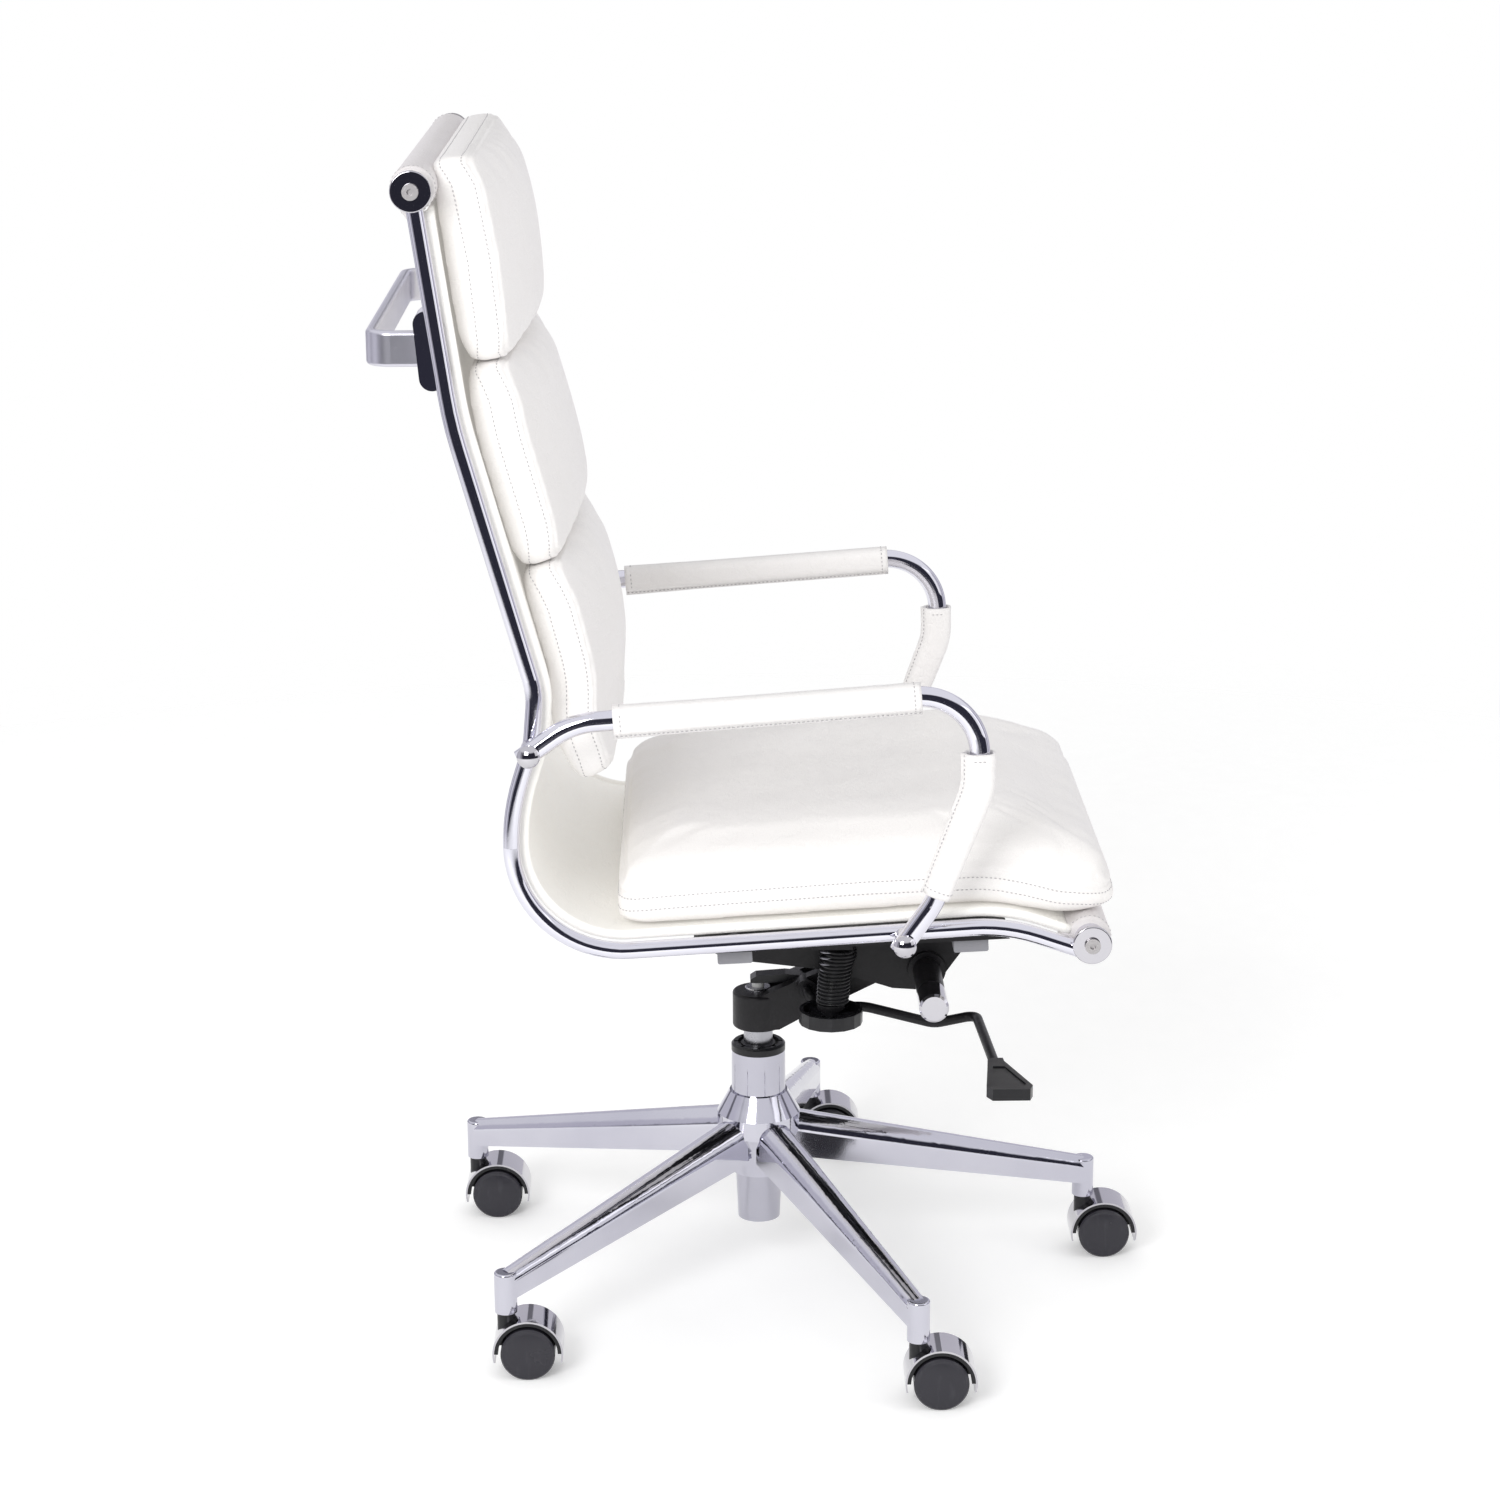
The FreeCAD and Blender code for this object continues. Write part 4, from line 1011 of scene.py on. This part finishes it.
CUSHIONS = [
    CushionPlan("cushion_top", ("back_pad_top",), 0.207,
                ((0.2772, 1.105, 0.0), (0.2620, 0.990, 0.500), (0.2525, 0.930, 0.0)),
                ((0.0, 0.035), (0.15, 0.042), (0.5, 0.045), (0.75, 0.043), (1.0, 0.040)),
                ((0.0, 0.020), (0.3, 0.023), (1.0, 0.024)), (2.0, 1.0, 6.0, 0.6),
                0.024, 0.026, 0.004, 0.006, 0.016, (0.007, 0.026), 0.004),
    CushionPlan("cushion_middle", ("back_pad_middle",), 0.207,
                ((0.2525, 0.929, 0.0), (0.2435, 0.868, 0.350), (0.2113, 0.750, 0.0)),
                ((0.0, 0.036), (0.2, 0.043), (0.8, 0.044), (1.0, 0.040)),
                ((0.0, 0.022), (0.5, 0.025), (1.0, 0.022)), (2.0, 1.0, 6.0, 0.6),
                0.024, 0.024, 0.004, 0.012, 0.012, (0.007, 0.026), 0.004),
    CushionPlan("cushion_lower", ("back_pad_lower",), 0.207,
                ((0.2103, 0.749, 0.0), (0.1842, 0.653, 0.120), (0.1855, 0.609, 0.100), (0.1610, 0.556, 0.0)),
                ((0.0, 0.036), (0.2, 0.042), (0.7, 0.040), (1.0, 0.035)),
                ((0.0, 0.022), (0.5, 0.021), (1.0, 0.012)), (2.0, 1.0, 6.0, 0.6),
                0.024, 0.024, 0.004, 0.010, 0.008, (0.007, 0.026), 0.004),
    CushionPlan("cushion_seat", ("seat_pad",), 0.226,
                ((0.127, 0.4310, 0.0), (-0.200, 0.4505, 0.120), (-0.262, 0.4395, 0.100), (-0.316, 0.4415, 0.0)),
                ((0.0, 0.029), (0.5, 0.030), (0.8, 0.027), (1.0, 0.020)),
                ((0.0, 0.037), (0.5, 0.040), (0.8, 0.043), (1.0, 0.042)), (12.0, 0.5, 13.0, 0.5),
                0.028, 0.038, 0.005, 0.006, 0.008, (0.003, 0.014), 0.003, 0.9),
]


# ---- sling, rolls and sleeves ----

class Sling:
    """Leather sling with piped edges, hem rows and double rows across the back."""

    PIPE_R = 0.0045
    PIPE_GAP = 0.0003
    EDGE = 0.004
    BOW = 0.004
    EASE = 0.05
    RIPPLE = 0.0010
    HEMS = (0.011, 0.017)
    SEAM_HEIGHTS = (0.932, 0.752)
    SEAM_SPLIT = 0.003
    SEAM_HALF_WIDTH = 0.215
    PITCH = 0.005

    def __init__(self) -> None:
        """Sets the line that the sling follows."""
        self.path = SidePath([SLING_START, *RAIL_CORNERS, SLING_END])

    def place(self, x: float, s: float) -> Vector:
        """Point of the sling's middle surface.

        Args:
            x: distance across the chair.
            s: distance along the sling.

        Returns:
            The point in space.
        """
        share = s / self.path.length
        ease = min(share / self.EASE, (1 - share) / self.EASE, 1.0)
        bow = self.BOW * (1 - (x / SLING_HALF_WIDTH) ** 2) * ease
        bow += self.RIPPLE * noise.noise(Vector((x * 11, s * 9, 1.3))) * ease
        return self.path.at(s).across(x, SLING_MIDDLE - bow)

    def build(self, palette: Palette) -> bpy.types.Object:
        """Makes the sheet, its piping and its stitches.

        Args:
            palette: the built finishes.

        Returns:
            The sheet.
        """
        bm = bmesh.new()
        bmesh.ops.create_grid(bm, x_segments=56, y_segments=190, size=1.0)
        for vert in bm.verts:
            x, s = vert.co.x * (SLING_HALF_WIDTH - self.EDGE), (vert.co.y + 1) / 2 * self.path.length
            vert.co = self.place(x, s)
        sheet = finished("sling_sheet", bm)
        wall = sheet.modifiers.new("wall", "SOLIDIFY")
        wall.thickness = LEATHER_WALL
        wall.offset = 0.0
        # The sling's leather carries painted light: a creamier colour and a glow standing in for bounce light.
        palette.paint(sheet, Look.SLING.value)
        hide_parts("sling")
        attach(sheet, "seat")
        pipes = self._pipes(palette)
        sewing = Sewing("sling_stitches", palette)
        surface = surface_of(sheet)
        self._sew(sewing, surface)
        stitches = sewing.finish("seat", Look.SLING.value)
        return sheet

    def _pipes(self, palette: Palette) -> bpy.types.Object:
        """Piping along both rails.

        Args:
            palette: the built finishes.

        Returns:
            The piping.
        """
        bm = bmesh.new()
        for side in (-1, 1):
            x = side * (RAIL_X - self.PIPE_R - self.PIPE_GAP)
            places = [station.basis(x, SLING_MIDDLE) for station in self.path.stations(0.006)]
            sweep(bm, circle(self.PIPE_R, 14), places)
        pipes = finished("sling_piping", bm)
        palette.paint(pipes, Look.SLING.value)
        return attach(pipes, "seat")

    def _sew(self, sewing: Sewing, surface: BVHTree) -> None:
        """Hem rows down both edges and double rows across the back.

        Args:
            sewing: rows they are added to.
            surface: search tree of the sheet.
        """
        for side in (-1, 1):
            for inset in self.HEMS:
                x = side * (SLING_HALF_WIDTH - inset)
                line = [station.across(x, SLING_MIDDLE - LEATHER_WALL) for station in self.path.stations(0.004)]
                sewing.row(line, surface, pitch=self.PITCH)
        behind = Vector((0, LEATHER_WALL, 0))
        for height in self.SEAM_HEIGHTS:
            s = min((abs(self.path.at(k * 0.002).z - height), k * 0.002) for k in range(300))[1]
            for shift in (-self.SEAM_SPLIT, self.SEAM_SPLIT):
                line = [self.place(x / 100 * self.SEAM_HALF_WIDTH, s + shift) + behind
                        for x in range(-100, 101)]
                sewing.row(line, surface, pitch=self.PITCH)


@dataclass(frozen=True)
class RollPlan:
    """A padded leather roll round a crossbar, with a sewn tail."""

    name: str
    centre: Point
    tail: Point
    radius: float = 0.019
    half_width: float = 0.2402


class Roll:
    """Builds one padded roll."""

    ROUNDS = 44
    TAIL_HALF = 0.0022
    TAIL_STEPS = 6
    LENGTH_STEPS = 90
    SWELL = 0.006
    END_DRAW = 0.05
    END_REACH = 0.003
    TAIL_ROW = 0.82
    ROW_SPLIT = 0.01
    END_ROW = 0.006

    def __init__(self, plan: RollPlan) -> None:
        """Keeps the plan."""
        self.plan = plan

    def _section(self) -> list[Point]:
        """Teardrop whose point is the tail.

        Returns:
            Its points, as (y, z) from the centre.
        """
        plan = self.plan
        reach = math.hypot(*plan.tail)
        heading = math.atan2(plan.tail[1], plan.tail[0])
        spread = math.acos(plan.radius / reach)
        points = []
        for k in range(self.ROUNDS + 1):
            angle = heading + spread + (2 * math.pi - 2 * spread) * k / self.ROUNDS
            points.append((plan.radius * math.cos(angle), plan.radius * math.sin(angle)))
        side = (-math.sin(heading) * self.TAIL_HALF, math.cos(heading) * self.TAIL_HALF)
        ends = [(points[-1], -1), (points[0], 1)]
        rows = [[(start[0] + (plan.tail[0] + sign * side[0] - start[0]) * k / self.TAIL_STEPS,
                  start[1] + (plan.tail[1] + sign * side[1] - start[1]) * k / self.TAIL_STEPS)
                 for k in range(1, self.TAIL_STEPS + 1)] for start, sign in ends]
        return [*points, *rows[0], *reversed(rows[1])]

    def build(self, palette: Palette) -> bpy.types.Object:
        """Makes the roll and its stitches.

        Args:
            palette: the built finishes.

        Returns:
            The roll.
        """
        plan = self.plan
        bm = bmesh.new()
        turn = Matrix(((0, 0, 1), (1, 0, 0), (0, 1, 0))).to_4x4()
        places = []
        for k in range(self.LENGTH_STEPS + 1):
            x = plan.half_width * (2 * k / self.LENGTH_STEPS - 1)
            swell = 1.0 + self.SWELL * noise.noise(Vector((x * 40, plan.centre[0] * 9, 0.4)))
            edge = plan.half_width - abs(x)
            swell -= self.END_DRAW * max(0.0, 1 - edge / self.END_REACH) ** 2
            places.append(Matrix.Translation((x, *plan.centre)) @ turn @ Matrix.Diagonal((swell, swell, 1, 1)))
        sweep(bm, self._section(), places)
        piece = finished(plan.name, bm)
        # The rolls wear the darker copy of the leather, painted shade.
        palette.paint(piece, "roll_leather_painted_shade", False)
        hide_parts("sling_rolls")
        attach(piece, "seat")
        sewing = Sewing(plan.name + "_stitches", palette)
        surface = surface_of(piece)
        y, z = (c + t * self.TAIL_ROW for c, t in zip(plan.centre, plan.tail))
        for side in (-self.ROW_SPLIT, self.ROW_SPLIT):
            shift = Vector((0, -plan.tail[1], plan.tail[0])).normalized() * side
            line = [Vector((x / 100 * plan.half_width * 0.97, y, z)) + shift for x in range(-100, 101)]
            sewing.row(line, surface)
        for end in (-1, 1):
            ring = [Vector((end * (plan.half_width - self.END_ROW), plan.centre[0] + a, plan.centre[1] + b))
                    for a, b in circle(plan.radius, 60)]
            sewing.row(ring, surface, closed=True)
        sewing.finish("seat", Look.SLING.value)
        return piece


ROLLS = [RollPlan("roll_top", TOP_BAR, (0.003, -0.027)), RollPlan("roll_front", FRONT_BAR, (0.027, 0.0025))]


@dataclass(frozen=True)
class SleevePlan:
    """A leather sleeve sewn round a stretch of an armrest."""

    name: str
    corners: tuple[Corner, ...]
    fin: float
    widths: tuple[Point, ...]


class Sleeve:
    """Builds one sleeve."""

    HALF_DEPTH = 0.0122
    HALF_THICKNESS = 0.0108
    WALL = 0.0024
    FIN_HALF = 0.0016
    ROUNDS = 44
    FLAT = 0.72
    SPACING = 0.004
    FLANK = 0.003
    END_GAP = 0.006
    SWELL = 0.012
    FIN_ROW = 0.55

    def __init__(self, plan: SleevePlan, side: int) -> None:
        """Keeps the plan and the side, -1 for the sitter's right."""
        self.plan = plan
        self.side = side
        self.path = SidePath(plan.corners)

    def _section(self) -> list[Point]:
        """Oval with a fin on the inner side of the armrest's loop.

        Returns:
            Its points, as (across the chair, away from the fin).
        """
        points = []
        for k in range(self.ROUNDS):
            angle = 2 * math.pi * (k + 0.5) / self.ROUNDS - math.pi / 2
            a, b = math.cos(angle), math.sin(angle)
            points.append((self.HALF_THICKNESS * math.copysign(abs(a) ** self.FLAT, a),
                           self.HALF_DEPTH * math.copysign(abs(b) ** self.FLAT, b)))
        tip = -self.HALF_DEPTH - self.plan.fin
        return [(self.FIN_HALF, tip), *points[1:-1], (-self.FIN_HALF, tip)]

    def build(self, palette: Palette) -> bpy.types.Object:
        """Makes the sleeve and its stitches.

        Args:
            palette: the built finishes.

        Returns:
            The sleeve.
        """
        bm = bmesh.new()
        x = self.side * ARM_X
        places = []
        for k, station in enumerate(self.path.stations(self.SPACING)):
            share = k * self.SPACING / self.path.length
            swell = 1 + self.SWELL * noise.noise(Vector((k * 0.33, self.side, self.plan.fin * 300)))
            deep = swell * mixed(self.plan.widths, share)
            places.append(station.basis(x) @ Matrix.Diagonal((swell, deep, 1, 1)))
        sweep(bm, self._section(), places, closed_ends=False)
        name = f"{self.plan.name}_{'right' if self.side < 0 else 'left'}"
        piece = finished(name, bm)
        wall = piece.modifiers.new("wall", "SOLIDIFY")
        wall.thickness = self.WALL
        wall.offset = -1.0
        palette.paint(piece, Look.SLEEVE.value)
        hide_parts("arm_sleeves")
        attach(piece, "seat")
        sewing = Sewing(name + "_stitches", palette)
        surface = surface_of(piece)
        for flank in (-1, 1):
            line = [station.across(x + flank * self.FLANK, -self.HALF_DEPTH - self.plan.fin * self.FIN_ROW)
                    for station in self.path.stations(0.003)]
            sewing.row(line, surface)
        for s in (self.END_GAP, self.path.length - self.END_GAP):
            basis = self.path.at(s).basis(x)
            ring = [basis @ Vector((a * self.HALF_THICKNESS, b * self.HALF_DEPTH, 0.0))
                    for a, b in circle(1.0, 60)]
            sewing.row(ring, surface, closed=True)
        stitches = sewing.finish("seat", Look.SLEEVE.value)
        return piece


SLEEVES = [
    SleevePlan("sleeve_upper", ((0.128, 0.6345, 0.0), (-0.137, 0.6534, 0.0)), 0.0035,
               ((0.0, 1.06), (0.3, 1.0), (1.0, 1.0))),
    SleevePlan("sleeve_lower", ((-0.18795, 0.603, 0.0), ARM_KNEE, (-0.1518, 0.4735, 0.0)), 0.0025,
               ((0.0, 1.14), (0.4, 1.10), (1.0, 0.97))),
]


# ---- tilt mechanism and castors ----

class Bellows:
    """Corrugated rubber boot over the tension spring, leaning forward."""

    RIBS = 15
    OUTER = 0.0156
    INNER = 0.0130
    LINE = ((0.2980, -0.068), (0.3270, -0.070), (0.3410, -0.072), (0.3520, -0.076))
    X = -0.078
    BOTTOM = 0.3055
    TOP = 0.3600
    RIB_STEPS = 8
    ROUNDS = 48
    KEEP = 0.80

    def build(self, palette: Palette) -> bpy.types.Object:
        """Makes the boot.

        Args:
            palette: the built finishes.

        Returns:
            The boot.
        """
        bm = bmesh.new()
        steps = self.RIBS * self.RIB_STEPS
        profile = []
        for k in range(steps + 1):
            z = self.BOTTOM + (self.TOP - self.BOTTOM) * k / steps
            wave = 0.5 - 0.5 * math.cos(2 * math.pi * self.RIBS * k / steps)
            profile.append(bm.verts.new((self.INNER + (self.OUTER - self.INNER) * wave ** 0.6, 0, z)))
        edges = [bm.edges.new(pair) for pair in zip(profile, profile[1:])]
        bmesh.ops.spin(bm, geom=[*profile, *edges], cent=(0, 0, 0), axis=(0, 0, 1), angle=2 * math.pi,
                       steps=self.ROUNDS, use_merge=True)
        for vert in bm.verts:
            vert.co.y += mixed(self.LINE, vert.co.z)
            vert.co.x += self.X
        bmesh.ops.holes_fill(bm, edges=[edge for edge in bm.edges if edge.is_boundary], sides=0)
        piece = finished("bellows", bm)
        palette.paint(piece, Look.BELLOWS.value)
        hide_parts("tension_bellows")
        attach(piece, "carrier")
        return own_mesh(piece)


class Hardware:
    """CAD nodes shown as they are, with their finishes."""

    SPECIAL = {"back_handle": "handle_chrome", "frame_screws": "screw_steel"}

    def dress(self, palette: Palette, record: dict, nodes: dict) -> int:
        """Gives each CAD node its slot's material.

        Args:
            palette: the built finishes.
            record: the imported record.
            nodes: CAD nodes by name.

        Returns:
            How many nodes were dressed.
        """
        slots = {row["node"]: row["material_slot"] for row in record["subparts"]}
        for name, piece in nodes.items():
            palette.paint(piece, self.SPECIAL.get(name, slots[name]), False)
        return len(nodes)


# ---- studio ----

class Studio:
    """World, pale floor, soft lights and the camera."""

    CAMERA_PLACE = (-3.18014, 0.05107, 1.41318)
    YAW = -0.801
    PITCH = 15.514
    ROLL = -0.287
    LENS = 83.94
    TARGET = (0.0, 0.0, 0.6)
    FLOOR_R = 2.7
    PANEL_TURN = 0.25
    SLITS = 9.0
    PALE: Color = (0.72, 0.71, 0.78)
    DARK: Color = (0.030, 0.030, 0.045)
    OPEN: Color = (0.95, 0.95, 0.98)
    WHITE: Color = (1.0, 1.0, 1.0)

    def build(self) -> None:
        """Makes the world, floor, lights and camera."""
        self._world()
        self._floor()
        self._lamp("key", (-2.7, 1.2, 1.9), 1.2, 48.0)
        self._lamp("fill", (-1.2, -2.8, 1.5), 1.8, 10.0)
        self._camera()
        bpy.context.scene.view_settings.view_transform = "Standard"

    def _world(self) -> None:
        """White surroundings whose reflections hold dark and light panels."""
        world = bpy.data.worlds.new("studio")
        world.use_nodes = True
        tree = world.node_tree
        tree.nodes.clear()
        toward = node(tree, "TexCoord").outputs["Generated"]
        parts = node(tree, "SeparateXYZ", {0: toward})
        turn = sums(tree, "ARCTAN2", parts.outputs["Y"], parts.outputs["X"])
        front = sums(tree, "COSINE", sums(tree, "SUBTRACT", turn, self.PANEL_TURN - math.pi))
        panel = remap(tree, front, 0.34, 0.46)
        slits = sums(tree, "COSINE", sums(tree, "MULTIPLY", turn, self.SLITS))
        panel = sums(tree, "MAXIMUM", panel, remap(tree, slits, 0.72, 0.86, 0.0, 0.75))
        height = parts.outputs["Z"]
        open_share = sums(tree, "MAXIMUM", remap(tree, height, 0.42, 0.56), remap(tree, height, -0.46, -0.60))
        ambient = grey(tree, remap(tree, height, 0.1, 0.95, 0.97, 0.74))
        strips = node(tree, "Mix", {0: panel}, data_type="RGBA")
        strips.inputs[6].default_value = rgba(self.PALE)
        strips.inputs[7].default_value = rgba(self.DARK)
        mirror = node(tree, "Mix", {0: open_share, 6: strips.outputs[2]}, data_type="RGBA")
        mirror.inputs[7].default_value = rgba(self.OPEN)
        rays = node(tree, "LightPath")
        glossy = node(tree, "Mix", {0: rays.outputs["Is Glossy Ray"], 6: ambient, 7: mirror.outputs[2]},
                      data_type="RGBA")
        seen = node(tree, "Mix", {0: rays.outputs["Is Camera Ray"], 6: glossy.outputs[2]}, data_type="RGBA")
        seen.inputs[7].default_value = rgba(self.WHITE)
        sky = node(tree, "Background", {"Color": seen.outputs[2]})
        tree.links.new(sky.outputs[0], node(tree, "OutputWorld").inputs[0])
        bpy.context.scene.world = world

    def _floor(self) -> None:
        """White floor that fades out at its rim."""
        bm = bmesh.new()
        bmesh.ops.create_circle(bm, cap_ends=True, segments=96, radius=self.FLOOR_R)
        floor = finished("studio_floor", bm, smooth=False)
        board = Board("studio_floor")
        reach = node(board.tree, "VectorMath", {0: board.place}, operation="LENGTH").outputs["Value"]
        speck = board.remap(board.noise(30.0, 4.0), 0.3, 0.7, 0.93, 0.95)
        board.set(Base_Color=grey(board.tree, speck), Roughness=0.9, Specular_IOR_Level=0.0,
                  Alpha=board.remap(reach, 1.7, 2.6, 1.0, 0.0), Emission_Color=rgba(self.WHITE),
                  Emission_Strength=0.17)
        floor.data.materials.append(board.material)

    def _lamp(self, name: str, place: Sequence[float], size: float, power: float) -> None:
        """Soft square lamp aimed at the chair's middle.

        Args:
            name: name of the lamp.
            place: where it stands.
            size: length of its side.
            power: its power in watts.
        """
        data = bpy.data.lights.new(name, "AREA")
        data.size = size
        data.energy = power
        lamp = bpy.data.objects.new(name, data)
        lamp.location = place
        lamp.rotation_euler = (Vector(self.TARGET) - Vector(place)).to_track_quat("-Z", "Y").to_euler()
        bpy.context.scene.collection.objects.link(lamp)

    def _camera(self) -> None:
        """Camera a little above the armrests, on the sitter's right."""
        yaw, pitch, roll = (math.radians(angle) for angle in (self.YAW, self.PITCH, self.ROLL))
        forward = Vector((math.cos(pitch) * math.cos(yaw), math.cos(pitch) * math.sin(yaw), -math.sin(pitch)))
        right = forward.cross(Vector((0, 0, 1))).normalized()
        up = right.cross(forward)
        across = right * math.cos(roll) + up * math.sin(roll)
        upright = -right * math.sin(roll) + up * math.cos(roll)
        data = bpy.data.cameras.new("camera")
        data.lens = self.LENS
        data.sensor_width = 36.0
        camera = bpy.data.objects.new("camera", data)
        place = Matrix((across, upright, -forward)).transposed().to_4x4()
        place.translation = Vector(self.CAMERA_PLACE)
        camera.matrix_world = place
        bpy.context.scene.collection.objects.link(camera)
        bpy.context.scene.camera = camera


def main() -> None:
    """Builds every piece in order."""
    logging.basicConfig(level=logging.INFO, format="%(message)s")
    palette = Palette()
    count = Hardware().dress(palette, frame["record"], frame["nodes"])
    log.info("hardware: %d nodes", count)
    for plan in CUSHIONS:
        piece = Cushion(plan).build(palette)
        log.info("%s: %d faces", piece.name, len(piece.data.polygons))
    sheet = Sling().build(palette)
    log.info("%s: %d faces", sheet.name, len(sheet.data.polygons))
    for plan in ROLLS:
        log.info("%s built", Roll(plan).build(palette).name)
    for plan in SLEEVES:
        for side in (-1, 1):
            log.info("%s built", Sleeve(plan, side).build(palette).name)
    log.info("%s built", Bellows().build(palette).name)
    Studio().build()


if __name__ == "__main__":
    main()
